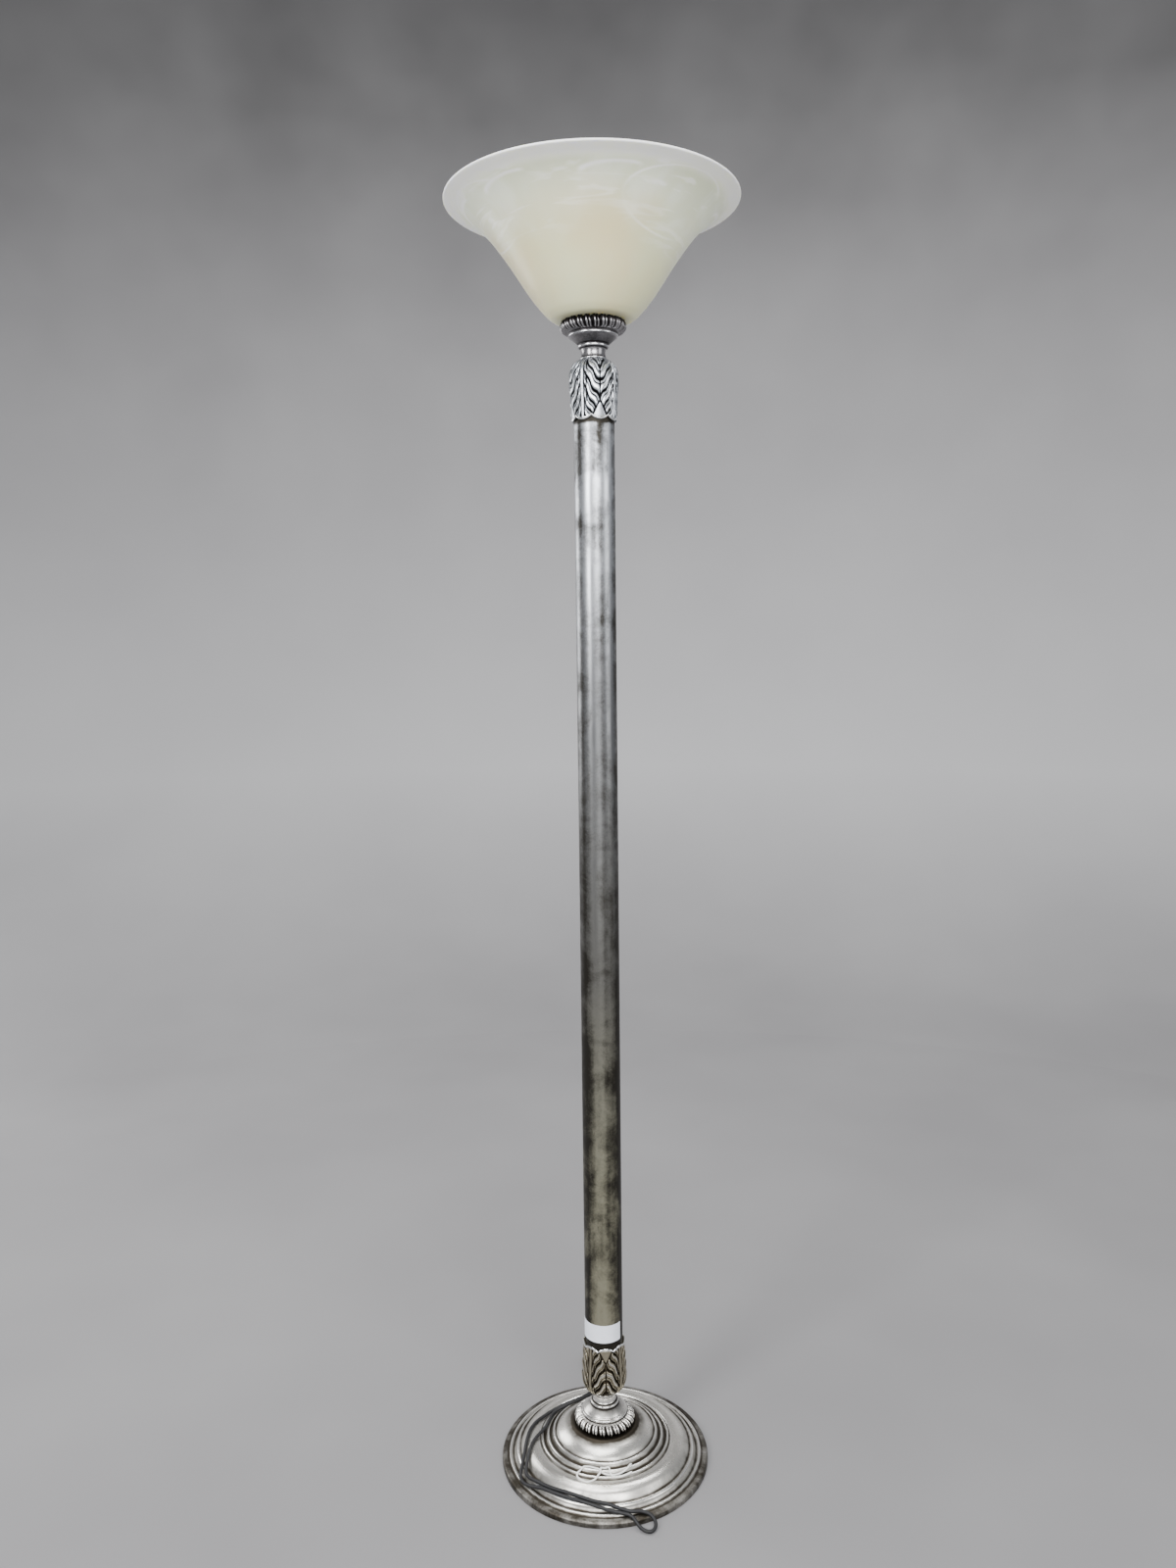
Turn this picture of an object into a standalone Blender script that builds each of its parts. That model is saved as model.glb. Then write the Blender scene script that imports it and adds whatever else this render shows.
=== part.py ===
"""Torchiere floor lamp: a flared glass bowl on a cast and tubular column over a wide stepped base.

Metres, Z up, the lamp's axis on the Z axis, the floor at height 0 and the front towards -Y.
"""

import math

import bmesh
import bpy
from mathutils import Matrix, Vector

# Driving dimensions
TOTAL_HEIGHT = 1.830
GAP = 0.0003
ROD_RADIUS = 0.0050
ROD_BORE = 0.0033
ROD_HOLE = 0.0058
ROD_BOTTOM = 0.0290
ROD_TOP = 1.6925

BASE_RADIUS = 0.1568
BASE_WALL_HEIGHT = 0.0070
BASE_TOP = 0.0557
SHELL_HEIGHT_OFF_FLOOR = 0.0006
PAD_THICKNESS = 0.0070
PAD_INNER_RADIUS = 0.0900
PAD_OUTER_RADIUS = 0.1220
PAD_CORD_GAP_DEGREES = 12.0

POLE_RADIUS = 0.0283
POLE_WALL = 0.0012
SPOOL_LENGTH = 0.0505
SPOOL_LEDGE = 0.0455
CAPITAL_LENGTH = 0.0820
CAPITAL_LEDGE = 0.0310
CAPITAL_SCALLOPS = 8
CAPITAL_SCALLOP_DEPTH = 0.0050
LOWER_SPOOL_BOTTOM = BASE_TOP + GAP
LOWER_CAPITAL_BOTTOM = LOWER_SPOOL_BOTTOM + SPOOL_LENGTH + GAP
UPPER_SPOOL_TOP = 1.6720
UPPER_CAPITAL_TOP = UPPER_SPOOL_TOP - SPOOL_LENGTH - GAP

RIM_RADIUS = 0.2005
GLASS_THICKNESS = 0.0050
GLASS_HOLE_RADIUS = 0.0310
GLASS_NECK_RADIUS = 0.0380
GLASS_SEAT_RADIUS = 0.0440
GASKET_BOTTOM = UPPER_SPOOL_TOP - SPOOL_LENGTH + SPOOL_LEDGE + GAP
GASKET_TOP = GASKET_BOTTOM + 0.0016
GLASS_BOTTOM = GASKET_TOP + GAP
GLASS_FLOOR = GLASS_BOTTOM + 0.0083
PLATE_BOTTOM = GLASS_FLOOR + GAP
PLATE_TOP = PLATE_BOTTOM + 0.0018

SOCKET_BOTTOM = 1.6866
SOCKET_SHELL_BOTTOM = 1.7002
SOCKET_TOP = 1.7450
SOCKET_BODY_BOTTOM = 1.7060
SOCKET_BODY_TOP = 1.7240
SOCKET_BODY_RADIUS = 0.0085
SWITCH_HEIGHT = 1.7160
TERMINAL_HEIGHT = 1.7120
SPINDLE_RADIUS = 0.0020
KNOB_RADIUS = 0.0068
KNOB_LENGTH = 0.0110
KNOB_START = 0.0200

BULB_RADIUS = 0.0240
BULB_TOP = 1.8185
BULB_CAP_BOTTOM = 1.7292
BULB_CAP_TOP = 1.7545

LABEL_BOTTOM = 0.1975
LABEL_TOP = 0.2250
LABEL_START_DEGREES = -180.0
LABEL_END_DEGREES = -33.0

CORD_RADIUS = 0.0025
CORD_STEP = 0.0142
CORD_SPACING = 0.0055
STRING_RADIUS = 0.0012
STRING_STEP = 0.0045
WIRE_RADIUS = 0.0008
EXIT_X = 0.0200
EXIT_HEIGHT = 0.0036
EXIT_Y = math.sqrt(BASE_RADIUS**2 - EXIT_X**2)
BOOT_LENGTH = 0.0240
BOOT_BORE = CORD_RADIUS + GAP
INNER_BEND_RADIUS = 0.0220

HANK_START_Y = 0.1950
HANK_LENGTH = 0.1050
HANK_X = 0.0070
HANK_WIDTH = 0.0340
HANK_BOTTOM = 0.0016
HANK_TOP = 0.0158
TIE_WIDTH = 0.0080
TIE_THICKNESS = 0.0010

PLUG_X = -0.0240
PLUG_Y = 0.2080
PLUG_WIDTH = 0.0210
PLUG_THICKNESS = 0.0130
PLUG_LENGTH = 0.0260
PLUG_HEIGHT = PLUG_THICKNESS / 2 + GAP
PLUG_BOOT_LENGTH = 0.0200
BLADE_SPACING = 0.0127
BLADE_LENGTH = 0.0160
BLADE_WIDTH = 0.0063
BLADE_THICKNESS = 0.0015

BASE_STEPS = 36
GLASS_STEPS = 36
CAPITAL_STEPS = 32
POLE_STEPS = 32
SPOOL_STEPS = 24
PLATE_STEPS = 20
SMALL_STEPS = 16
SCREW_STEPS = 12


# Materials
def material(name, colour, metallic=0.0, roughness=0.5, alpha=1.0):
    """A Principled material of its own for one piece."""
    made = bpy.data.materials.new(name)
    made.use_nodes = True
    shader = made.node_tree.nodes["Principled BSDF"]
    shader.inputs["Base Color"].default_value = (*colour, 1.0)
    shader.inputs["Metallic"].default_value = metallic
    shader.inputs["Roughness"].default_value = roughness
    shader.inputs["Alpha"].default_value = alpha
    return made


def silver(name):
    return material(name, (0.52, 0.50, 0.46), metallic=1.0, roughness=0.35)


def steel(name):
    return material(name, (0.55, 0.55, 0.55), metallic=1.0, roughness=0.40)


def brass(name):
    return material(name, (0.72, 0.55, 0.25), metallic=1.0, roughness=0.35)


def dark_rubber(name):
    return material(name, (0.03, 0.03, 0.03), roughness=0.60)


# Building tools
def add_object(name, mesh, made_of):
    """Turns a bmesh into a named object that is shaded smooth except at its edges."""
    data = bpy.data.meshes.new(name)
    mesh.to_mesh(data)
    mesh.free()
    for face in data.polygons:
        face.use_smooth = True
    data.set_sharp_from_angle(angle=math.radians(35))
    data.materials.append(made_of)
    made = bpy.data.objects.new(name, data)
    bpy.context.scene.collection.objects.link(made)
    return made


def turned(name, outline, steps, made_of, degrees=(0.0, 360.0), reshape=None):
    """Turns a closed (radius, height) outline about Z. Its outer side is listed from top to bottom.

    The reshape function, where one is given, changes a point's radius and height by its angle.
    """
    mesh = bmesh.new()
    start, end = (math.radians(value) for value in degrees)
    whole = end - start > 2 * math.pi - 0.001
    count = steps if whole else steps + 1
    rings = []
    for radius, height in outline:
        if radius == 0.0:
            rings.append([mesh.verts.new((0.0, 0.0, height))])
            continue
        ring = []
        for index in range(count):
            angle = start + (end - start) * index / steps
            r, z = reshape(angle, radius, height) if reshape else (radius, height)
            ring.append(mesh.verts.new((r * math.cos(angle), r * math.sin(angle), z)))
        rings.append(ring)
    for upper, lower in zip(rings, rings[1:] + rings[:1]):
        join_rings(mesh, upper, lower, steps, whole)
    if not whole:
        mesh.faces.new([ring[0] for ring in reversed(rings)])
        mesh.faces.new([ring[-1] for ring in rings])
    return add_object(name, mesh, made_of)


def join_rings(mesh, upper, lower, steps, whole):
    """Fills the band between two rings. A ring of one vertex is a point on the axis."""
    if len(upper) == 1 and len(lower) == 1:
        return
    for index in range(steps):
        following = (index + 1) % steps if whole else index + 1
        if len(upper) == 1:
            corners = [upper[0], lower[index], lower[following]]
        elif len(lower) == 1:
            corners = [upper[index], lower[0], upper[following]]
        else:
            corners = [upper[index], lower[index], lower[following], upper[following]]
        mesh.faces.new(corners)


def ring_outline(inner, outer, bottom, top):
    """The outline of a plain ring, washer or tube."""
    return [(outer, top), (outer, bottom), (inner, bottom), (inner, top)]


def rod_outline(radius, bottom, top):
    """The outline of a plain solid cylinder."""
    return [(0.0, top), (radius, top), (radius, bottom), (0.0, bottom)]


def aimed(made, direction, place):
    """Points a piece turned about Z along another direction and moves its origin to a place."""
    turn = Vector(direction).to_track_quat("Z", "Y").to_matrix().to_4x4()
    made.data.transform(turn)
    made.location = place
    return made


def extruded(name, outline, bottom, top, made_of):
    """A flat outline, counter-clockwise seen from above, given a height."""
    mesh = bmesh.new()
    low = [mesh.verts.new((x, y, bottom)) for x, y in outline]
    high = [mesh.verts.new((x, y, top)) for x, y in outline]
    mesh.faces.new(list(reversed(low)))
    mesh.faces.new(high)
    for index in range(len(outline)):
        following = (index + 1) % len(outline)
        mesh.faces.new([low[index], low[following], high[following], high[index]])
    return add_object(name, mesh, made_of)


def box(name, low, high, made_of):
    """A rectangular block between two corners."""
    outline = [(low[0], low[1]), (high[0], low[1]), (high[0], high[1]), (low[0], high[1])]
    return extruded(name, outline, low[2], high[2], made_of)


def cut(target, cutter):
    """Cuts one closed body out of another."""
    cutter.hide_render = True
    cutter.display_type = "WIRE"
    boolean = target.modifiers.new("cut", "BOOLEAN")
    boolean.operation = "DIFFERENCE"
    boolean.solver = "EXACT"
    boolean.object = cutter


def curve_through(points, per_span):
    """A smooth curve through hand-chosen points, read at even shares of each span."""
    points = [Vector(point) for point in points]
    padded = [2 * points[0] - points[1]] + points + [2 * points[-1] - points[-2]]
    curve = []
    for before, start, end, after in zip(padded, padded[1:], padded[2:], padded[3:]):
        for index in range(per_span):
            t = index / per_span
            value = 2 * start + t * (end - before)
            value = value + t * t * (2 * before - 5 * start + 4 * end - after)
            value = value + t * t * t * (3 * start - before - 3 * end + after)
            curve.append(value / 2)
    curve.append(points[-1])
    return curve


def evenly_spaced(curve, step):
    """Points about one step apart along a finely sampled curve, both ends kept."""
    lengths = [0.0]
    for start, end in zip(curve, curve[1:]):
        lengths.append(lengths[-1] + (end - start).length)
    count = max(2, round(lengths[-1] / step))
    spaced = []
    span = 0
    for index in range(count + 1):
        wanted = lengths[-1] * index / count
        while span < len(curve) - 2 and lengths[span + 1] < wanted:
            span += 1
        share = (wanted - lengths[span]) / (lengths[span + 1] - lengths[span])
        spaced.append(curve[span].lerp(curve[span + 1], share))
    return spaced


def tube(name, points, radius, made_of, roundness=2):
    """A round cord or wire along a line of points, with closed ends."""
    data = bpy.data.curves.new(name, "CURVE")
    data.dimensions = "3D"
    data.bevel_depth = radius
    data.bevel_resolution = roundness
    data.use_fill_caps = True
    spline = data.splines.new("POLY")
    spline.points.add(len(points) - 1)
    for target, point in zip(spline.points, points):
        target.co = (*point, 1.0)
    data.materials.append(made_of)
    made = bpy.data.objects.new(name, data)
    bpy.context.scene.collection.objects.link(made)
    return made


# Base
def base_profile():
    """The upper surface of the base, from the middle outwards to the floor."""
    return [
        (ROD_HOLE, BASE_TOP),
        (0.0455, BASE_TOP),
        (0.0465, 0.0566),  # fillet ring round the foot of the column
        (0.0490, 0.0566),
        (0.0520, 0.0545),
        (0.0620, 0.0505),  # dome
        (0.0730, 0.0414),
        (0.0780, 0.0403),  # first ridge
        (0.0815, 0.0362),
        (0.0867, 0.0362),  # second ridge
        (0.0905, 0.0328),
        (0.0959, 0.0331),  # third ridge
        (0.0990, 0.0300),
        (0.1090, 0.0312),  # cushion band
        (0.1200, 0.0270),
        (0.1285, 0.0195),
        (0.1335, 0.0165),  # outer ridge
        (0.1385, 0.0115),
        (0.1440, 0.0110),  # outer bead
        (0.1500, 0.0092),
        (0.1548, 0.0085),
        (BASE_RADIUS, BASE_WALL_HEIGHT),
        (BASE_RADIUS, SHELL_HEIGHT_OFF_FLOOR),
    ]


def base_shell():
    """The pressed metal shell, hollow below, with a notch at the back for the cord."""
    inside = [
        (0.1543, SHELL_HEIGHT_OFF_FLOOR),
        (0.1543, 0.0060),
        (0.1480, 0.0068),
        (0.1370, 0.0085),
        (0.1270, 0.0170),
        (0.1100, 0.0275),
        (0.0980, 0.0270),
        (0.0740, 0.0375),
        (0.0600, 0.0475),
        (0.0450, 0.0525),
        (ROD_HOLE, 0.0525),
    ]
    shell = turned("base_shell", base_profile() + inside, BASE_STEPS, silver("base_finish"))
    half_width = BOOT_BORE + 0.0008
    outline = [(EXIT_X - half_width, 0.135), (EXIT_X + half_width, 0.135)]
    outline += [(EXIT_X + half_width, 0.165), (EXIT_X - half_width, 0.165)]
    notch = extruded("base_notch_cutter", outline, -0.002, 0.0072, steel("cutter"))
    cut(shell, notch)


def base_inside():
    """The cast iron weight, the pad the lamp stands on, and the washer and nut below the stack."""
    weight = [
        (0.0400, 0.0520),
        (0.0560, 0.0455),
        (0.0720, 0.0362),
        (0.0960, 0.0262),
        (0.1080, 0.0262),
        (0.1240, 0.0155),
        (0.1240, PAD_THICKNESS + GAP),
        (0.0850, PAD_THICKNESS + GAP),
        (0.0720, 0.0270),
        (0.0450, 0.0360),
        (0.0250, 0.0440),
        (ROD_HOLE, 0.0440),
        (ROD_HOLE, 0.0520),
    ]
    iron = material("cast_iron", (0.07, 0.07, 0.07), metallic=0.6, roughness=0.7)
    turned("base_weight", weight, BASE_STEPS, iron)
    pad = ring_outline(PAD_INNER_RADIUS, PAD_OUTER_RADIUS, 0.0, PAD_THICKNESS)
    gap_middle = math.degrees(math.atan2(EXIT_Y, EXIT_X))
    ends = (gap_middle + PAD_CORD_GAP_DEGREES / 2, gap_middle + 360 - PAD_CORD_GAP_DEGREES / 2)
    turned("base_pad", pad, BASE_STEPS, dark_rubber("pad_rubber"), degrees=ends)
    washer = ring_outline(ROD_HOLE, 0.0180, 0.0413, 0.0437)
    turned("base_washer", washer, PLATE_STEPS, steel("washer_steel"))
    hex_nut("base_nut", 0.0330, 0.0410)


def hex_nut(name, bottom, top):
    """A hexagonal nut on the rod."""
    turned(name, ring_outline(0.0068, 0.0105, bottom, top), 6, steel(name + "_steel"))


def threaded_rod():
    """The hollow rod that clamps the whole lamp together and carries the cord."""
    wall = ring_outline(ROD_BORE, ROD_RADIUS, ROD_BOTTOM, ROD_TOP)
    turned("threaded_rod", wall, SCREW_STEPS, steel("rod_steel"))


# Column
def spool_outline():
    """The turned casting, as (radius, distance from its narrow end)."""
    outside = [
        (0.0186, 0.0000),  # end ring
        (0.0175, 0.0025),
        (0.0165, 0.0080),  # neck
        (0.0176, 0.0140),
        (0.0213, 0.0175),  # bead
        (0.0210, 0.0203),
        (0.0250, 0.0232),  # funnel
        (0.0283, 0.0266),
        (0.0328, 0.0298),
        (0.0346, 0.0318),  # lip
        (0.0335, 0.0345),
        (0.0415, 0.0385),
        (0.0447, 0.0435),  # gadrooned ring
        (0.0442, 0.0470),
        (0.0413, SPOOL_LENGTH),
    ]
    inside = [
        (0.0385, SPOOL_LENGTH),
        (0.0385, SPOOL_LEDGE),  # ledge that takes the seat of the glass
        (0.0300, SPOOL_LEDGE),
        (0.0270, 0.0380),
        (0.0135, 0.0280),
        (0.0135, 0.0040),
        (ROD_HOLE, 0.0040),
        (ROD_HOLE, 0.0000),
    ]
    return outside + inside


def capital_outline():
    """The leaf casting, as (radius, distance from its narrow end). The pole's end sits inside it."""
    outside = [
        (0.0200, 0.0000),
        (0.0250, 0.0030),
        (0.0305, 0.0100),
        (0.0338, 0.0220),
        (0.0336, 0.0350),
        (0.0326, 0.0500),
        (0.0318, 0.0650),
        (0.0312, CAPITAL_LENGTH),  # leaf tips
    ]
    inside = [
        (POLE_RADIUS + GAP, CAPITAL_LENGTH),
        (POLE_RADIUS + GAP, CAPITAL_LEDGE),
        (0.0240, CAPITAL_LEDGE),
        (0.0150, 0.0050),
        (ROD_HOLE, 0.0050),
        (ROD_HOLE, 0.0000),
    ]
    return outside + inside


def scalloped(angle, radius, distance):
    """Lets the leaf tips of a capital rise and fall round its open end."""
    if distance < CAPITAL_LENGTH:
        return radius, distance
    dip = 1 - abs(math.sin(CAPITAL_SCALLOPS * angle / 2))
    return radius, distance - CAPITAL_SCALLOP_DEPTH * dip


def stacked(name, outline, steps, start, upward, reshape=None):
    """A casting placed with its narrow end at a height, running up the column or down it."""
    made = turned(name, list(reversed(outline)), steps, silver(name + "_silver"), reshape=reshape)
    if not upward:
        made.data.transform(Matrix.Rotation(math.pi, 4, "X"))
    made.data.transform(Matrix.Translation((0.0, 0.0, start)))
    return made


def column():
    """The pole with the same two castings at each end of it."""
    lower_spool_narrow = LOWER_SPOOL_BOTTOM + SPOOL_LENGTH
    upper_spool_narrow = UPPER_SPOOL_TOP - SPOOL_LENGTH
    stacked("lower_spool", spool_outline(), SPOOL_STEPS, lower_spool_narrow, upward=False)
    stacked("upper_spool", spool_outline(), SPOOL_STEPS, upper_spool_narrow, upward=True)
    capital = capital_outline()
    stacked("lower_capital", capital, CAPITAL_STEPS, LOWER_CAPITAL_BOTTOM, True, scalloped)
    stacked("upper_capital", capital, CAPITAL_STEPS, UPPER_CAPITAL_TOP, False, scalloped)
    pole_and_bushes()


def pole_and_bushes():
    """The pole, held in the middle of each capital by a flanged bush on the rod."""
    flange = 0.0020
    plug = 0.0060
    flange_radius = POLE_RADIUS - 0.0003
    plug_radius = POLE_RADIUS - POLE_WALL - GAP
    low = LOWER_CAPITAL_BOTTOM + CAPITAL_LEDGE + GAP
    high = UPPER_CAPITAL_TOP - CAPITAL_LEDGE - GAP
    pole_bottom = low + flange + GAP
    pole_top = high - flange - GAP
    wall = ring_outline(POLE_RADIUS - POLE_WALL, POLE_RADIUS, pole_bottom, pole_top)
    turned("pole", wall, POLE_STEPS, silver("pole_silver"))
    bush = [
        (plug_radius, flange + plug),
        (plug_radius, flange),
        (flange_radius, flange),
        (flange_radius, 0.0),
        (ROD_HOLE, 0.0),
        (ROD_HOLE, flange + plug),
    ]
    lower = turned("lower_pole_bush", bush, PLATE_STEPS, steel("lower_bush_steel"))
    lower.data.transform(Matrix.Translation((0.0, 0.0, low)))
    upper = turned("upper_pole_bush", bush, PLATE_STEPS, steel("upper_bush_steel"))
    upper.data.transform(Matrix.Rotation(math.pi, 4, "X"))
    upper.data.transform(Matrix.Translation((0.0, 0.0, high)))


def price_label():
    """A blank paper label wrapped part of the way round the pole."""
    paper = material("label_paper", (0.80, 0.82, 0.85), roughness=0.8)
    inner = POLE_RADIUS + GAP
    outline = ring_outline(inner, inner + 0.0002, LABEL_BOTTOM, LABEL_TOP)
    turned("price_label", outline, 14, paper, degrees=(LABEL_START_DEGREES, LABEL_END_DEGREES))


# Glass bowl
def glass_outside():
    """The outer surface of the bowl, from its seat up to the rim."""
    wall = [
        (0.0537, 1.6735),
        (0.0684, 1.6856),
        (0.0869, 1.7083),
        (0.1119, 1.7457),
        (0.1296, 1.7703),
        (0.1458, 1.7903),
        (0.1630, 1.8066),
        (0.1812, 1.8192),
        (RIM_RADIUS - 0.0015, 1.8272),
    ]
    smooth = curve_through([(r, z, 0.0) for r, z in wall], 1)
    return [(point.x, point.y) for point in smooth]


def moved_inwards(line, distance):
    """A line of (radius, height) points moved sideways towards the axis."""
    moved = []
    for index, (radius, height) in enumerate(line):
        before = line[max(index - 1, 0)]
        after = line[min(index + 1, len(line) - 1)]
        along = Vector((after[0] - before[0], after[1] - before[1])).normalized()
        moved.append((radius - along.y * distance, height + along.x * distance))
    return moved


def glass_shade():
    """The frosted glass bowl, with a hole and a short neck at the bottom for the clamp."""
    outside = glass_outside()
    highest_inside = TOTAL_HEIGHT - 0.003
    inside = [point for point in moved_inwards(outside, GLASS_THICKNESS) if point[1] < highest_inside]
    seat = UPPER_SPOOL_TOP + GAP
    rim = [
        (RIM_RADIUS - 0.0039, TOTAL_HEIGHT),
        (RIM_RADIUS - 0.0012, TOTAL_HEIGHT - 0.0006),
        (RIM_RADIUS, TOTAL_HEIGHT - 0.0014),
    ]
    neck = [
        (GLASS_SEAT_RADIUS, seat),
        (GLASS_NECK_RADIUS, seat),
        (GLASS_NECK_RADIUS, GLASS_BOTTOM),
        (GLASS_HOLE_RADIUS, GLASS_BOTTOM),
        (GLASS_HOLE_RADIUS, GLASS_FLOOR),
        (GLASS_SEAT_RADIUS, GLASS_FLOOR),
    ]
    outline = rim + list(reversed(outside)) + neck + inside[1:]
    glass = material("shade_glass", (0.80, 0.76, 0.62), roughness=0.35)
    turned("glass_shade", outline, GLASS_STEPS, glass)


def shade_clamp():
    """The gasket below the glass and the plate and nut above it."""
    gasket = ring_outline(GLASS_HOLE_RADIUS, GLASS_NECK_RADIUS, GASKET_BOTTOM, GASKET_TOP)
    turned("shade_gasket", gasket, PLATE_STEPS, dark_rubber("gasket_rubber"))
    plate = ring_outline(ROD_HOLE, 0.0400, PLATE_BOTTOM, PLATE_TOP)
    turned("shade_plate", plate, PLATE_STEPS, steel("plate_steel"))
    hex_nut("plate_nut", PLATE_TOP + GAP, SOCKET_BOTTOM - 0.0006)


# Lamp holder
def socket_metal():
    """The cap that screws onto the rod and the shell that plugs into it."""
    cap = [
        (0.0172, SOCKET_SHELL_BOTTOM - GAP),
        (0.0172, 1.6930),
        (0.0120, SOCKET_BOTTOM),
        (ROD_HOLE, SOCKET_BOTTOM),
        (ROD_HOLE, SOCKET_BOTTOM + 0.0012),
        (0.0112, SOCKET_BOTTOM + 0.0012),
        (0.0160, 1.6936),
        (0.0160, SOCKET_SHELL_BOTTOM - GAP),
    ]
    turned("socket_cap", cap, PLATE_STEPS, brass("cap_brass"))
    wall = ring_outline(0.0160, 0.0168, SOCKET_SHELL_BOTTOM, SOCKET_TOP)
    shell = turned("socket_shell", wall, PLATE_STEPS, brass("shell_brass"))
    card = material("liner_card", (0.45, 0.38, 0.28), roughness=0.9)
    wall = ring_outline(0.0151, 0.0157, SOCKET_SHELL_BOTTOM, SOCKET_TOP - 0.002)
    liner = turned("socket_liner", wall, PLATE_STEPS, card)
    hole_radius = SPINDLE_RADIUS + 0.0010
    outline = rod_outline(hole_radius, 0.012, 0.019)
    hole = turned("spindle_hole_cutter", outline, SCREW_STEPS, steel("hole"))
    aimed(hole, (1, 0, 0), (0.0, 0.0, SWITCH_HEIGHT))
    cut(shell, hole)
    cut(liner, hole)


def socket_inside():
    """The moulded body with its screw shell, middle contact, terminals and wires."""
    moulding = material("socket_moulding", (0.05, 0.04, 0.03), roughness=0.5)
    body = rod_outline(SOCKET_BODY_RADIUS, SOCKET_BODY_BOTTOM, SOCKET_BODY_TOP)
    turned("socket_body", body, SMALL_STEPS, moulding)
    thimble = [
        (0.0146, SOCKET_TOP - 0.001),
        (0.0146, SOCKET_BODY_TOP + GAP),
        (0.0060, SOCKET_BODY_TOP + GAP),
        (0.0060, SOCKET_BODY_TOP + GAP + 0.0007),
        (0.0138, SOCKET_BODY_TOP + GAP + 0.0007),
        (0.0138, SOCKET_TOP - 0.001),
    ]
    turned("screw_shell", thimble, PLATE_STEPS, brass("screw_brass"))
    contact = rod_outline(0.0040, SOCKET_BODY_TOP + GAP, SOCKET_BODY_TOP + 0.0022)
    turned("centre_contact", contact, SMALL_STEPS, brass("contact_brass"))
    for name, side in (("live", 1), ("neutral", -1)):
        terminal(name, side)


def terminal(name, side):
    """One terminal screw on the side of the socket body and the wire that runs up to it."""
    head = 0.0025
    start = SOCKET_BODY_RADIUS + GAP
    outline = rod_outline(head, start, start + 0.0030)
    screw = turned("terminal_screw_" + name, outline, SCREW_STEPS, brass(name + "_brass"))
    aimed(screw, (0, side, 0), (0.0, 0.0, TERMINAL_HEIGHT))
    reach = start + 0.0015
    route = [
        (0.0, side * 0.0012, ROD_TOP + 0.0036),
        (0.0, side * 0.0040, ROD_TOP + 0.0075),
        (0.0, side * 0.0085, ROD_TOP + 0.0105),
        (0.0, side * reach, ROD_TOP + 0.0135),
        (0.0, side * reach, TERMINAL_HEIGHT - head - GAP),
    ]
    tube("wire_" + name, curve_through(route, 2), WIRE_RADIUS, dark_rubber(name + "_wire"))


def switch():
    """The turn-knob and its spindle, both about the spindle's axis."""
    place = (0.0, 0.0, SWITCH_HEIGHT)
    spindle = rod_outline(SPINDLE_RADIUS, SOCKET_BODY_RADIUS + GAP, KNOB_START - GAP)
    aimed(turned("switch_spindle", spindle, SCREW_STEPS, brass("spindle_brass")), (1, 0, 0), place)
    knob = [
        (0.0, KNOB_START + KNOB_LENGTH),
        (KNOB_RADIUS - 0.0010, KNOB_START + KNOB_LENGTH),
        (KNOB_RADIUS, KNOB_START + KNOB_LENGTH - 0.0010),
        (KNOB_RADIUS, KNOB_START + 0.0010),
        (KNOB_RADIUS - 0.0010, KNOB_START),
        (0.0, KNOB_START),
    ]
    plastic = material("knob_plastic", (0.02, 0.02, 0.02), roughness=0.35)
    aimed(turned("switch_knob", knob, SMALL_STEPS, plastic, reshape=ribbed), (1, 0, 0), place)


def ribbed(angle, radius, height):
    """Cuts shallow finger grooves into the knob: every second step is a groove."""
    groove = round(angle / (2 * math.pi) * SMALL_STEPS) % 2
    return radius - 0.0007 * groove, height


def bulb():
    """A small screw-base bulb: the glass envelope, its cap and its contact."""
    middle = BULB_TOP - BULB_RADIUS
    wall = 0.0008
    arc = [math.radians(value) for value in range(90, -46, -27)]
    outside = [(BULB_RADIUS * math.cos(a), middle + BULB_RADIUS * math.sin(a)) for a in arc[1:]]
    inner = BULB_RADIUS - wall
    inside = [(inner * math.cos(a), middle + inner * math.sin(a)) for a in arc[1:]]
    neck = [(0.0118, BULB_CAP_TOP + 0.0010), (0.0118, BULB_CAP_TOP - 0.0050)]
    bore = [(0.0118 - wall, BULB_CAP_TOP - 0.0050), (0.0118 - wall, BULB_CAP_TOP + 0.0010)]
    outer_line = [(0.0, BULB_TOP)] + outside + neck
    inner_line = bore + list(reversed(inside)) + [(0.0, BULB_TOP - wall)]
    glass = material("bulb_glass", (0.90, 0.90, 0.88), roughness=0.3)
    turned("bulb_glass", outer_line + inner_line, SMALL_STEPS, glass)
    cap = [
        (0.0130, BULB_CAP_TOP),
        (0.0130, BULB_CAP_BOTTOM + 0.0030),
        (0.0060, BULB_CAP_BOTTOM),
        (0.0, BULB_CAP_BOTTOM),
        (0.0, BULB_CAP_BOTTOM + 0.0008),
        (0.0056, BULB_CAP_BOTTOM + 0.0008),
        (0.0122, BULB_CAP_BOTTOM + 0.0036),
        (0.0122, BULB_CAP_TOP),
    ]
    turned("bulb_cap", cap, PLATE_STEPS, steel("bulb_cap_metal"))
    contact = rod_outline(0.0040, SOCKET_BODY_TOP + 0.0025, BULB_CAP_BOTTOM - GAP)
    turned("bulb_contact", contact, SMALL_STEPS, brass("bulb_contact_brass"))


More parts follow.
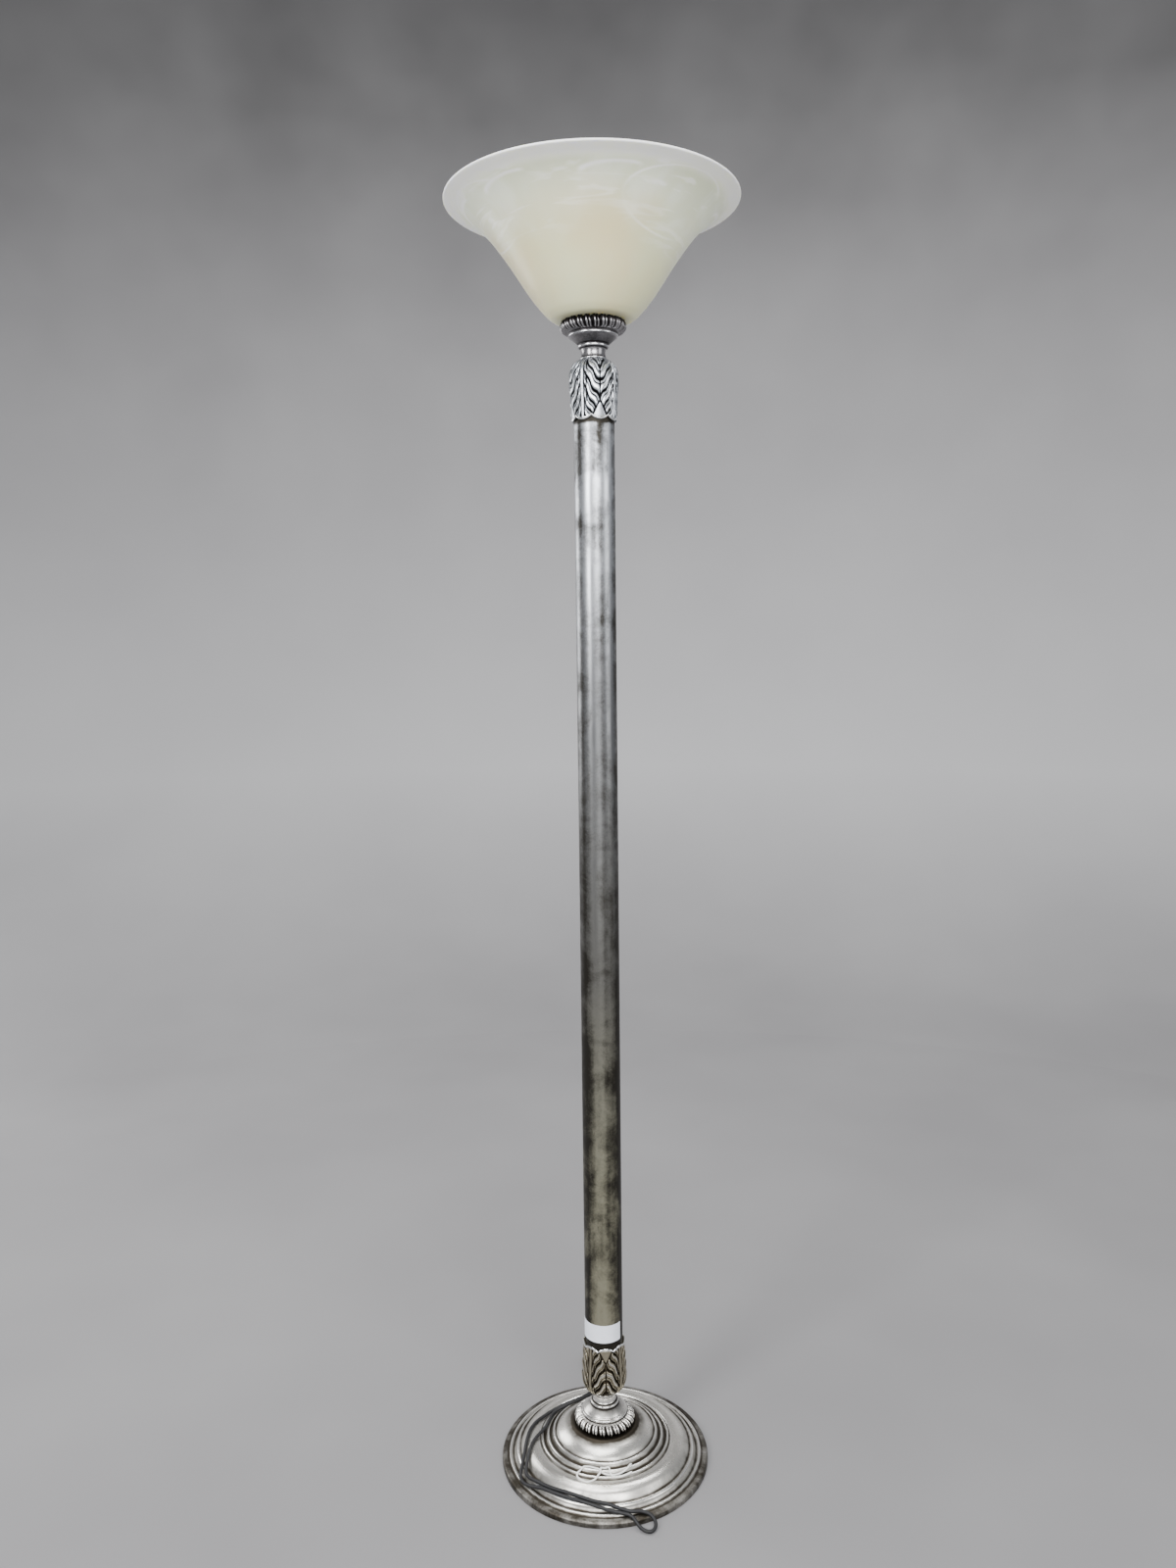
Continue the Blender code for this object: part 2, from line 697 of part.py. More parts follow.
# Cords
def resting_height(x, y, reach):
    """How high the middle of a cord lies at a place on the base or on the floor round it."""
    distance = math.hypot(x, y)
    height = reach
    profile = base_profile()
    narrowed = math.cos(math.pi / BASE_STEPS)
    for (r0, z0), (r1, z1) in zip(profile, profile[1:]):
        for share in (0.0, 0.25, 0.5, 0.75, 1.0):
            for scale in (1.0, narrowed):
                away = distance - (r0 + (r1 - r0) * share) * scale
                if abs(away) < reach:
                    height = max(height, z0 + (z1 - z0) * share + math.sqrt(reach**2 - away**2))
    return height


def laid(route, step, radius):
    """A route given as (x, y, lift), laid on the base and the floor and read at even steps.

    The lift is the extra height where the cord passes over something else.
    """
    reach = radius + GAP
    points = evenly_spaced(curve_through(route, 8), step)
    for point in points:
        point.z += resting_height(point.x, point.y, reach)
    for start, end in zip(points, points[1:]):
        needed = 0.0
        for share in (0.2, 0.4, 0.6, 0.8):
            middle = start.lerp(end, share)
            needed = max(needed, resting_height(middle.x, middle.y, reach) - middle.z)
        start.z += needed
        end.z += needed
    return points


def beside(points, distance):
    """A run of (x, y) points moved sideways, to the right of the way it runs."""
    moved = []
    for index, (x, y) in enumerate(points):
        before = points[max(index - 1, 0)]
        after = points[min(index + 1, len(points) - 1)]
        along = Vector((after[0] - before[0], after[1] - before[1])).normalized()
        moved.append((x + along.y * distance, y - along.x * distance))
    return moved


def power_cord_route():
    """The doubled cord: from the hank, over the left of the base to the front, and back to the plug."""
    behind_column = [(-0.0150, 0.140), (-0.0150, 0.118), (-0.0185, 0.099), (-0.0250, 0.0830)]
    left_rear = [(-0.0435, 0.0655), (-0.0630, 0.0565)]
    outer_left = [(-0.0800, 0.0510), (-0.0935, 0.0400), (-0.1060, 0.0270), (-0.1150, 0.0100)]
    outer_left += [(-0.1190, -0.0100), (-0.1215, -0.0300), (-0.1240, -0.0500), (-0.1258, -0.0690)]
    inner_left = [(-0.0780, 0.0430), (-0.0840, 0.0290), (-0.0900, 0.0120), (-0.0985, -0.0005)]
    inner_left += [(-0.1051, -0.0110), (-0.1110, -0.0250), (-0.1150, -0.0420), (-0.1178, -0.0620)]
    front = [(-0.0960, -0.0940), (-0.0760, -0.1070), (-0.0529, -0.1185), (-0.0235, -0.1300)]
    front += [(0.0015, -0.1368), (0.0220, -0.1415), (0.0350, -0.1440)]
    half = CORD_SPACING / 2
    shared = behind_column + left_rear
    over = beside(shared, -half) + inner_left + [(-0.1140, -0.0760)] + beside(front, -half)
    turn = [(0.0500, -0.1395), (0.0640, -0.1440), (0.0690, -0.1560)]
    turn += [(0.0620, -0.1665), (0.0490, -0.1630)]
    back = list(reversed(beside(front, half))) + [(-0.1190, -0.0842)] + list(reversed(outer_left))
    plan = over + turn + back + list(reversed(beside(shared, half)))
    from_hank = [(-0.0075, 0.2006, 0.0060), (-0.0080, 0.1850, 0.0040), (-0.0110, 0.1640, 0.0020)]
    plug_lift = PLUG_HEIGHT - CORD_RADIUS - GAP
    plug_end = PLUG_Y - PLUG_BOOT_LENGTH - GAP
    to_plug = [(-0.0205, 0.1620, 0.0010)]
    to_plug += [(PLUG_X, plug_end - 0.010, plug_lift), (PLUG_X, plug_end, plug_lift)]
    return from_hank + [(x, y, 0.0) for x, y in plan] + to_plug


def free_cord():
    """The free cord: out of the base, a stored hank, the doubled run over the base, and the plug."""
    rubber = dark_rubber("cord_sheath")
    relief_end = EXIT_Y + BOOT_LENGTH
    lead = [(EXIT_X, EXIT_Y + 0.0010, EXIT_HEIGHT), (EXIT_X, relief_end, EXIT_HEIGHT)]
    lead += [(EXIT_X, HANK_START_Y + 0.0040, 0.0060)]
    tube("cord_lead", lead, CORD_RADIUS, rubber)
    tube("power_cord", laid(power_cord_route(), CORD_STEP, CORD_RADIUS), CORD_RADIUS, rubber)
    hank()
    plug()


def inner_cord():
    """The cord inside the lamp: in under the weight, round a bend, and up the rod to the socket."""
    bend = INNER_BEND_RADIUS
    bend_top = EXIT_HEIGHT + bend
    points = [Vector((EXIT_X, EXIT_Y + offset, EXIT_HEIGHT)) for offset in (0.0007, -0.010)]
    ends = [Vector((EXIT_X, 0.120, EXIT_HEIGHT)), Vector((0.0030, 0.045, EXIT_HEIGHT))]
    points += evenly_spaced(ends, 0.015)
    for index in range(8):
        angle = math.pi / 2 * index / 7
        points.append(Vector((0.0, bend * (1 - math.sin(angle)), bend_top - bend * math.cos(angle))))
    points.append(Vector((0.0, 0.0, ROD_TOP + 0.0015)))
    tube("inner_cord", points, CORD_RADIUS, dark_rubber("inner_sheath"))


def strain_relief():
    """The tapered rubber boot in the notch at the back of the base."""
    thick = BOOT_BORE + 0.0006
    thin = BOOT_BORE + 0.0003
    outline = [
        (thin, BOOT_LENGTH),
        (thick, 0.0030),
        (thick, -0.0030),
        (BOOT_BORE, -0.0030),
        (BOOT_BORE, BOOT_LENGTH),
    ]
    boot = turned("cord_strain_relief", outline, SMALL_STEPS, dark_rubber("boot_rubber"))
    aimed(boot, (0, 1, 0), (EXIT_X, EXIT_Y, EXIT_HEIGHT))


def rounded_run(middle_x, start_y, end_y, width, steps=8):
    """A long outline with round ends, counter-clockwise, along Y."""
    radius = width / 2
    outline = []
    for centre_y, first in ((end_y - radius, 0.0), (start_y + radius, math.pi)):
        for index in range(steps + 1):
            angle = first + math.pi * index / steps
            outline.append((middle_x + radius * math.cos(angle), centre_y + radius * math.sin(angle)))
    return outline


def hank():
    """The stored length of the cord, folded to and fro, and the strap round its middle."""
    start = HANK_START_Y + 0.0043
    outline = rounded_run(HANK_X, start, start + HANK_LENGTH, HANK_WIDTH)
    extruded("cord_hank", outline, HANK_BOTTOM, HANK_TOP, dark_rubber("hank_sheath"))
    hank_tie(start + HANK_LENGTH / 2)


def hank_tie(middle_y):
    """The flat strap that goes round the hank at its middle."""
    mesh = bmesh.new()
    sides = []
    loop_in = tie_loop(GAP)
    loop_out = tie_loop(GAP + TIE_THICKNESS)
    for y in (middle_y - TIE_WIDTH / 2, middle_y + TIE_WIDTH / 2):
        for loop in (loop_out, loop_in):
            sides.append([mesh.verts.new((x, y, z)) for x, z in loop])
    near_out, near_in, far_out, far_in = sides
    for index in range(4):
        nxt = (index + 1) % 4
        mesh.faces.new([near_out[index], near_out[nxt], near_in[nxt], near_in[index]])
        mesh.faces.new([far_out[nxt], far_out[index], far_in[index], far_in[nxt]])
        mesh.faces.new([near_out[nxt], near_out[index], far_out[index], far_out[nxt]])
        mesh.faces.new([near_in[index], near_in[nxt], far_in[nxt], far_in[index]])
    add_object("hank_tie", mesh, dark_rubber("tie_strap"))


def tie_loop(clear):
    """The corners, as (x, z), of a loop round the hank that stands clear of it by a distance."""
    left = HANK_X - HANK_WIDTH / 2 - clear
    right = HANK_X + HANK_WIDTH / 2 + clear
    low = HANK_BOTTOM - clear
    high = HANK_TOP + clear
    return [(left, low), (right, low), (right, high), (left, high)]


def plug():
    """The two-blade plug with its tapered boot, lying on the floor behind the base."""
    boot = [
        (0.0, PLUG_BOOT_LENGTH - GAP),
        (0.0056, PLUG_BOOT_LENGTH - GAP),
        (CORD_RADIUS + 0.0009, 0.0),
        (0.0, 0.0),
    ]
    relief = turned("plug_boot", boot, SMALL_STEPS, dark_rubber("plug_boot_rubber"))
    aimed(relief, (0, 1, 0), (PLUG_X, PLUG_Y - PLUG_BOOT_LENGTH, PLUG_HEIGHT))
    end = PLUG_Y + PLUG_LENGTH
    low = (PLUG_X - PLUG_WIDTH / 2, PLUG_Y, GAP)
    high = (PLUG_X + PLUG_WIDTH / 2, end, GAP + PLUG_THICKNESS)
    box("plug_body", low, high, dark_rubber("plug_rubber"))
    for name, side in (("left", -1), ("right", 1)):
        x = PLUG_X + side * BLADE_SPACING / 2
        low = (x - BLADE_THICKNESS / 2, end + GAP, PLUG_HEIGHT - BLADE_WIDTH / 2)
        high = (x + BLADE_THICKNESS / 2, end + BLADE_LENGTH, PLUG_HEIGHT + BLADE_WIDTH / 2)
        box("plug_blade_" + name, low, high, brass("blade_" + name + "_brass"))


def tie_string():
    """A short white string lying across the ridges at the front, crossing itself once."""
    over = 2 * STRING_RADIUS + GAP
    route = [
        (0.0374, -0.0746, 0.0),
        (0.0328, -0.0815, 0.0),
        (0.0254, -0.0869, 0.0),
        (0.0139, -0.0915, 0.0),
        (0.0025, -0.0915, 0.0),
        (-0.0046, -0.0900, 0.0),
        (-0.0103, -0.0859, 0.0),
        (-0.0231, -0.0796, 0.0),
        (-0.0346, -0.0817, 0.0),
        (-0.0420, -0.0905, 0.0),
        (-0.0375, -0.0995, 0.0),
        (-0.0261, -0.1053, 0.0),
        (-0.0147, -0.0983, 0.0),
        (-0.0085, -0.0925, over),
        (-0.0070, -0.0868, over),
        (-0.0020, -0.0845, 0.0),
        (0.0040, -0.0855, over),
        (0.0060, -0.0915, over),
        (0.0100, -0.0965, 0.0),
        (0.0200, -0.0960, 0.0),
        (0.0300, -0.0925, 0.0),
        (0.0380, -0.0880, 0.0),
    ]
    cotton = material("string_cotton", (0.85, 0.84, 0.80), roughness=0.9)
    tube("tie_string", laid(route, STRING_STEP, STRING_RADIUS), STRING_RADIUS, cotton)


def build():
    """Clears the scene and makes every piece, from the floor up."""
    for old in list(bpy.data.objects):
        bpy.data.objects.remove(old, do_unlink=True)
    base_shell()
    base_inside()
    threaded_rod()
    column()
    price_label()
    glass_shade()
    shade_clamp()
    socket_metal()
    socket_inside()
    switch()
    bulb()
    inner_cord()
    strain_relief()
    free_cord()
    tie_string()


build()
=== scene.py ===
"""Looks of the torchiere floor lamp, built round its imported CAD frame. Metres, Z up, front towards -Y."""

import math

import bpy
import numpy as np
from mathutils import Matrix, Vector


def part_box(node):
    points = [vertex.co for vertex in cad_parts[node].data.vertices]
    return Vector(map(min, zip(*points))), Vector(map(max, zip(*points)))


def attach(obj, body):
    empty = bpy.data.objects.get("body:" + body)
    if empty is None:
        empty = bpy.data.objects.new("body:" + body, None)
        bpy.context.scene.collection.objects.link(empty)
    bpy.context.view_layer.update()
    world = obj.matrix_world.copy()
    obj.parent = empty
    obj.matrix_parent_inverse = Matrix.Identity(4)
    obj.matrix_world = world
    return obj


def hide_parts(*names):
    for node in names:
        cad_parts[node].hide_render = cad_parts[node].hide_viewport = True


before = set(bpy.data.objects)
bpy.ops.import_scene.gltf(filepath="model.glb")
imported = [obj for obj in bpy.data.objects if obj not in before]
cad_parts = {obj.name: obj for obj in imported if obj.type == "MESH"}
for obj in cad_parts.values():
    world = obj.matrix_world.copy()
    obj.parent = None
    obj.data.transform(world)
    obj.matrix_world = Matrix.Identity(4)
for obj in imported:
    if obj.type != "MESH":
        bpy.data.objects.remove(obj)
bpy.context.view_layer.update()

LAMP = "lamp"
SWITCH = "switch"

# Camera
CAMERA_PLACE = (-0.0143, -1.670, 1.231)
CAMERA_DOWN_DEGREES = 6.69
CAMERA_ROLL_DEGREES = -0.67
CAMERA_LENS_MM = 17.955
CAMERA_SENSOR_MM = 24.0

# Heights and radii shared by several pieces
POLE_RADIUS = 0.0283
SPOOL_LENGTH = 0.0505
CAPITAL_LENGTH = 0.0820
LOWER_SPOOL_NARROW = 0.1065
LOWER_CAPITAL_START = 0.1068
UPPER_SPOOL_NARROW = 1.6215
UPPER_CAPITAL_START = 1.6212

# Leaf castings, with heights measured from their narrow end
CAPITAL_LEAVES = 4
HALF_LEAF_DEGREES = 180.0 / CAPITAL_LEAVES
TIP_APEX = 0.0590
TIP_HALF_DEGREES = 21.0
VEIN_PITCH = 0.0200
VEIN_RISE = 0.0750
VEIN_CURVE = 0.38
SCALLOP_DEPTH = 0.0050
CAPITAL_LEDGE = 0.0310
CAPITAL_EDGE_WIDTH = 0.0026

# Spool castings, with heights measured from their narrow end
GADROON_LEAVES = 24
GADROON_STEPS = 16
GADROON_START = 0.0355
GADROON_LENGTH = 0.0140
FUNNEL_START = 0.0203
FUNNEL_LENGTH = 0.0095

# Holes for the rod, in the fittings and in the castings
ROD_HOLE = 0.0058
CASTING_HOLE = 0.0062

# The highest wear value, reached on polished crests and on painted highlights
MOST_WORN = 1.5

# Pole and its label
POLE_WALL = 0.0012
POLE_DARK_RING_TOP = 0.1985
# Below this height the pole's painted highlight narrows to its front and back
POLE_LOW_DOWN_TOP = 1.15
POLE_LOW_DOWN_FADE = 0.40
LABEL_GAP = 0.0003
LABEL_THICKNESS = 0.0003
LABEL_START_DEGREES = -180
LABEL_END_DEGREES = -33

# Glass
GLASS_THICKNESS = 0.0052
GLASS_BOTTOM = 1.6692
GLASS_SEAT = 1.6723
GLASS_FLOOR = 1.6775
GLASS_HOLE_RADIUS = 0.0310
GLASS_NECK_RADIUS = 0.0380

# Switch
SWITCH_HEIGHT = 1.7160
KNOB_START = 0.0200
KNOB_LENGTH = 0.0110
KNOB_RADIUS = 0.0068
KNOB_GROOVES = 20
KNOB_GROOVE_DEPTH = 0.0006

# The bright colour of the pole by height: olive-brown patina low down, painted shade through the middle and a
# painted bluish highlight towards the top
POLE_PATINA_AND_LIGHT_TONES = [
    (0.20, (0.390, 0.372, 0.270)),
    (0.45, (0.370, 0.358, 0.265)),
    (0.75, (0.190, 0.187, 0.172)),
    (1.18, (0.240, 0.245, 0.255)),
    (1.55, (0.640, 0.665, 0.710)),
]

# The paper backdrop's colour by height, with painted light and shade: brightest a little above the floor and
# darker high up
BACKDROP_PAINTED_LIGHT_TONES = [
    (0.0, (0.150, 0.147, 0.152)),
    (0.7, (0.320, 0.318, 0.326)),
    (1.6, (0.250, 0.247, 0.254)),
    (3.6, (0.042, 0.040, 0.042)),
]

# The round studio, whose middle is in front of the lamp
STUDIO_CENTRE_Y = -1.0
STUDIO_FLOOR_RADIUS = 3.0
STUDIO_CURVE_RADIUS = 2.0
STUDIO_WALL_STEP = 0.5
STUDIO_STEPS = 12

# Cord
CORD_RADIUS = 0.0025
CORD_SPACING = 0.0055
CORD_CLEARANCE = 0.0002
HANK_CLEARANCE = 0.0003
EXIT_X = 0.0200
EXIT_Y = 0.1555
EXIT_HEIGHT = 0.0036
HANK_X = 0.0070
HANK_HALF_WIDTH = 0.0145
HANK_NEAR_Y = 0.2163
HANK_FAR_Y = 0.2873
HANK_LAYERS = 3
HANK_WAIST = 0.0030
LAYER_HEIGHT = 0.0051
STRAP_THICKNESS = 0.0009
STRAP_WIDTH = 0.0080
BOOT_LENGTH = 0.0240
PLUG_X = -0.0240
PLUG_END_Y = 0.1877
PLUG_Y = 0.2080
PLUG_LENGTH = 0.0260
PLUG_WIDTH = 0.0210
PLUG_THICKNESS = 0.0130
PLUG_HEIGHT = 0.0068
PLUG_GRIP_RIDGES = 11
PLUG_GRIP_DEPTH = 0.0007
PIN_HOLE_RADIUS = 0.0015
STRING_RADIUS = 0.0012


# ---------------------------------------------------------------- shapes
def add_mesh(name, vertices, faces, sharp_degrees=40.0):
    """A smooth-shaded mesh object from lists of points and faces."""
    data = bpy.data.meshes.new(name)
    data.from_pydata([tuple(v) for v in vertices], [], faces)
    data.update()
    for face in data.polygons:
        face.use_smooth = True
    data.set_sharp_from_angle(angle=math.radians(sharp_degrees))
    made = bpy.data.objects.new(name, data)
    bpy.context.scene.collection.objects.link(made)
    return made


def add_wear_and_light(made, values):
    """Stores a number per vertex: 0 in a recess, 1 on a rubbed edge and more where it is polished. In places
    it also carries painted highlights and painted shade.
    """
    layer = made.data.attributes.new("wear", "FLOAT", "POINT")
    layer.data.foreach_set("value", np.asarray(values, dtype=np.float32))


def filleted(points, parts=4):
    """Rounds the corners of a line of (radius, height, fillet) points."""
    line = []
    for index, (radius, height, fillet) in enumerate(points):
        here = np.array([radius, height])
        if index in (0, len(points) - 1) or fillet == 0:
            line.append(here)
            continue
        before = np.array(points[index - 1][:2]) - here
        after = np.array(points[index + 1][:2]) - here
        reach_before = min(fillet, 0.48 * np.linalg.norm(before))
        reach_after = min(fillet, 0.48 * np.linalg.norm(after))
        start = here + before / np.linalg.norm(before) * reach_before
        end = here + after / np.linalg.norm(after) * reach_after
        for part in range(parts + 1):
            t = part / parts
            line.append((1 - t) ** 2 * start + 2 * t * (1 - t) * here + t * t * end)
    return np.array(line)


def refined(line, step):
    """The same line with extra points so that none are further apart than a step."""
    points = [line[0]]
    for start, end in zip(line, line[1:]):
        count = max(1, int(math.ceil(np.linalg.norm(end - start) / step)))
        for part in range(1, count + 1):
            points.append(start + (end - start) * part / count)
    return np.array(points)


def ridge(value, middle, width):
    """A bell curve: 1 at the middle and nearly 0 two widths away."""
    return np.exp(-(((value - middle) / width) ** 2))


def squared_off(value, power):
    """Pushes a sine or cosine towards 1 or -1, which makes a circle nearer to a rectangle."""
    return math.copysign(abs(value) ** power, value)


def bands(rows, count, closed):
    """Faces between rows of points, each row a loop. If closed, the last row joins the first."""
    faces = []
    for row in range(rows if closed else rows - 1):
        near = row * count
        far = (row + 1) % rows * count
        for index in range(count):
            after = (index + 1) % count
            faces.append((near + index, near + after, far + after, far + index))
    return faces


def side_normals(line):
    """Unit normals of a (radius, height) line, pointing outwards where it runs from top to bottom."""
    along = np.gradient(line, axis=0)
    along /= np.maximum(np.linalg.norm(along, axis=1, keepdims=True), 1e-9)
    return np.stack([-along[:, 1], along[:, 0]], axis=1)


def turned(name, line, steps, relief=None, closed=True, sharp_degrees=40.0):
    """Turns a (radius, height) line about Z, listed with its outer side from top to bottom.

    The relief function gives how far each point stands out and how worn it is, from arrays of
    angle, radius and height. A closed line joins its last point to its first; the ends of one
    that isn't closed get flat caps.
    """
    line = np.array(line)
    angles = np.linspace(0, 2 * math.pi, steps, endpoint=False)
    radius = np.repeat(line[:, 0:1], steps, axis=1)
    height = np.repeat(line[:, 1:2], steps, axis=1)
    turn = np.repeat(angles[None, :], len(line), axis=0)
    worn = np.full(radius.shape, 0.6)
    if relief:
        out, worn = relief(turn, radius, height)
        normal = side_normals(line)
        radius = radius + out * normal[:, 0:1]
        height = height + out * normal[:, 1:2]
    points = np.stack([radius * np.cos(turn), radius * np.sin(turn), height], axis=2)
    faces = [(a, d, c, b) for a, b, c, d in bands(len(line), steps, closed)]
    if not closed:
        faces.append(tuple(range(steps)))
        faces.append(tuple(range(len(line) * steps - 1, (len(line) - 1) * steps - 1, -1)))
    made = add_mesh(name, points.reshape(-1, 3), faces, sharp_degrees)
    add_wear_and_light(made, worn.reshape(-1))
    return made


def lofted(name, sections):
    """A closed skin over a row of loops with the same number of points, with flat ends."""
    count = len(sections[0])
    faces = [tuple(range(count - 1, -1, -1))]
    faces += bands(len(sections), count, closed=False)
    faces.append(tuple(range((len(sections) - 1) * count, len(sections) * count)))
    return add_mesh(name, np.array(sections).reshape(-1, 3), faces)


def aimed(made, axis, degrees, place):
    """Turns a piece about a world axis and moves its origin to a place."""
    made.data.transform(Matrix.Rotation(math.radians(degrees), 4, axis))
    made.data.transform(Matrix.Translation(place))
    return made


def smooth_through(points, per_span):
    """A smooth curve through given points of any dimension."""
    points = [np.array(point, dtype=float) for point in points]
    padded = [2 * points[0] - points[1]] + points + [2 * points[-1] - points[-2]]
    curve = []
    for before, start, end, after in zip(padded, padded[1:], padded[2:], padded[3:]):
        for part in range(per_span):
            t = part / per_span
            value = 2 * start + t * (end - before)
            value = value + t * t * (2 * before - 5 * start + 4 * end - after)
            value = value + t * t * t * (3 * start - before - 3 * end + after)
            curve.append(value / 2)
    curve.append(points[-1])
    return np.array(curve)


def evenly_spaced(curve, step):
    """The same curve read about one step apart."""
    lengths = np.concatenate([[0], np.cumsum(np.linalg.norm(np.diff(curve, axis=0), axis=1))])
    count = max(2, int(round(lengths[-1] / step)))
    wanted = np.linspace(0, lengths[-1], count + 1)
    return np.stack([np.interp(wanted, lengths, column) for column in curve.T], axis=1)


def tube(name, points, radius, roundness=4):
    """A round cord along a line of points."""
    data = bpy.data.curves.new(name, "CURVE")
    data.dimensions = "3D"
    data.bevel_depth = radius
    data.bevel_resolution = roundness
    data.use_fill_caps = True
    spline = data.splines.new("POLY")
    spline.points.add(len(points) - 1)
    spline.points.foreach_set("co", np.column_stack([points, np.ones(len(points))]).reshape(-1))
    spline.use_smooth = True
    made = bpy.data.objects.new(name, data)
    bpy.context.scene.collection.objects.link(made)
    return made


def paint(made, material):
    """Gives a piece its only material."""
    made.data.materials.clear()
    made.data.materials.append(material)
    return made


def paint_node(node, material):
    """Gives a CAD node that stays in view a better material."""
    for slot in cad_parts[node].material_slots:
        slot.material = material


def fit_out(made, body, nodes, material):
    """Paints a new piece, makes it ride a body and lets it stand for its CAD nodes."""
    paint(made, material)
    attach(made, body)
    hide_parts(*nodes)
    return made


# ---------------------------------------------------------------- camera
def add_camera():
    """An upright view from in front and above the middle of the lamp, looking slightly down."""
    data = bpy.data.cameras.new("camera")
    data.sensor_fit = "VERTICAL"
    data.sensor_height = CAMERA_SENSOR_MM
    data.lens = CAMERA_LENS_MM
    data.clip_start = 0.01
    data.clip_end = 50.0
    camera = bpy.data.objects.new("camera", data)
    bpy.context.scene.collection.objects.link(camera)
    tilt = Matrix.Rotation(math.radians(90 - CAMERA_DOWN_DEGREES), 4, "X")
    roll = Matrix.Rotation(math.radians(CAMERA_ROLL_DEGREES), 4, "Z")
    camera.matrix_world = Matrix.Translation(CAMERA_PLACE) @ tilt @ roll
    bpy.context.scene.camera = camera


# ---------------------------------------------------------------- base profile
def base_profile():
    """The upper surface of the base, from the middle outwards to the floor."""
    corners = [
        (0.0060, 0.0557, 0),
        (0.0452, 0.0557, 0.0005),
        (0.0462, 0.0567, 0.0010),  # fillet ring round the foot of the column
        (0.0492, 0.0567, 0.0015),
        (0.0520, 0.0545, 0.0020),
        (0.0600, 0.0520, 0.0060),  # dome
        (0.0700, 0.0455, 0.0060),
        (0.0742, 0.0408, 0.0010),
        (0.0756, 0.0408, 0.0008),
        (0.0768, 0.0420, 0.0008),  # first ridge
        (0.0788, 0.0415, 0.0012),
        (0.0798, 0.0392, 0.0010),
        (0.0818, 0.0362, 0.0015),
        (0.0842, 0.0356, 0.0008),
        (0.0854, 0.0371, 0.0008),  # second ridge
        (0.0876, 0.0366, 0.0012),
        (0.0886, 0.0345, 0.0010),
        (0.0908, 0.0322, 0.0015),
        (0.0934, 0.0318, 0.0008),
        (0.0947, 0.0337, 0.0008),  # third ridge
        (0.0968, 0.0333, 0.0012),
        (0.0978, 0.0303, 0.0008),
        (0.0990, 0.0297, 0.0006),
        (0.1006, 0.0309, 0.0014),
        (0.1090, 0.0322, 0.0080),  # cushion band
        (0.1200, 0.0280, 0.0080),
        (0.1262, 0.0205, 0.0050),
        (0.1282, 0.0183, 0.0012),
        (0.1306, 0.0180, 0.0008),
        (0.1322, 0.0187, 0.0010),  # outer ridge
        (0.1348, 0.0170, 0.0015),
        (0.1366, 0.0130, 0.0015),
        (0.1392, 0.0108, 0.0012),
        (0.1412, 0.0108, 0.0008),
        (0.1425, 0.0124, 0.0010),  # outer bead
        (0.1455, 0.0120, 0.0014),
        (0.1468, 0.0100, 0.0008),
        (0.1510, 0.0092, 0.0020),
        (0.1568, 0.0082, 0.0030),
        (0.1568, 0.0006, 0),
    ]
    return filleted(corners)


def rolling_heights(profile, reach):
    """How high the middle of a ball lies as it rolls over a profile and onto the floor, by radius."""
    fine = refined(profile, 0.0003)
    radii = np.arange(0.04, 0.20, 0.0004)
    away = radii[:, None] - fine[None, :, 0]
    rise = np.sqrt(np.maximum(reach**2 - away**2, 0))
    over = np.where(np.abs(away) < reach, fine[None, :, 1] + rise, 0)
    return radii, np.maximum(over.max(axis=1), reach)


def laid(route, step, radius, passes=25):
    """A route given as (x, y, lift) settled on the base and the floor like a slack, springy cord."""
    reach = radius + CORD_CLEARANCE
    points = evenly_spaced(smooth_through(route, 10), step)
    radii, heights = rolling_heights(base_profile(), reach)
    least = np.interp(np.hypot(points[:, 0], points[:, 1]), radii, heights)
    rest = least + points[:, 2]
    z = rest.copy()
    for _ in range(passes):
        z[1:-1] = np.maximum(rest[1:-1], (z[:-2] + z[2:]) / 2)
    points[:, 2] = z
    return points


def beside(points, distance):
    """A run of (x, y) points moved sideways, to the right of the way it runs."""
    points = np.array(points)
    along = np.gradient(points, axis=0)
    along /= np.linalg.norm(along, axis=1, keepdims=True)
    return points + distance * np.stack([along[:, 1], -along[:, 0]], axis=1)


# ---------------------------------------------------------------- cords
def hank_route():
    """The stored length: flat loops laid on each other, drawn together and lifted at the strap."""
    middle = (HANK_NEAR_Y + HANK_FAR_Y) / 2
    waist_reach = (HANK_FAR_Y - HANK_NEAR_Y) / 2
    route = []

    def run(side, layer, start, end):
        for y in np.linspace(start, end, 9):
            share = math.cos(math.pi / 2 * (y - middle) / waist_reach) ** 2
            out = HANK_HALF_WIDTH - (HANK_HALF_WIDTH - HANK_WAIST) * share
            lift = (STRAP_THICKNESS + 0.0001) * share
            route.append((HANK_X + side * out, y, CORD_RADIUS + HANK_CLEARANCE + lift + LAYER_HEIGHT * layer))

    def fold(centre_y, first, layer, climb):
        for part in range(1, 12):
            share = part / 12
            angle = first + math.pi * share
            lift = climb * min(1.0, share / 0.6)
            z = CORD_RADIUS + HANK_CLEARANCE + LAYER_HEIGHT * (layer + lift)
            x = HANK_X + HANK_HALF_WIDTH * math.cos(angle)
            route.append((x, centre_y + HANK_HALF_WIDTH * math.sin(angle), z))

    for layer in range(HANK_LAYERS):
        run(1, layer, HANK_NEAR_Y, HANK_FAR_Y)
        fold(HANK_FAR_Y, 0.0, layer, 0)
        run(-1, layer, HANK_FAR_Y, HANK_NEAR_Y)
        if layer < HANK_LAYERS - 1:
            fold(HANK_NEAR_Y, math.pi, layer, 1)
    return route


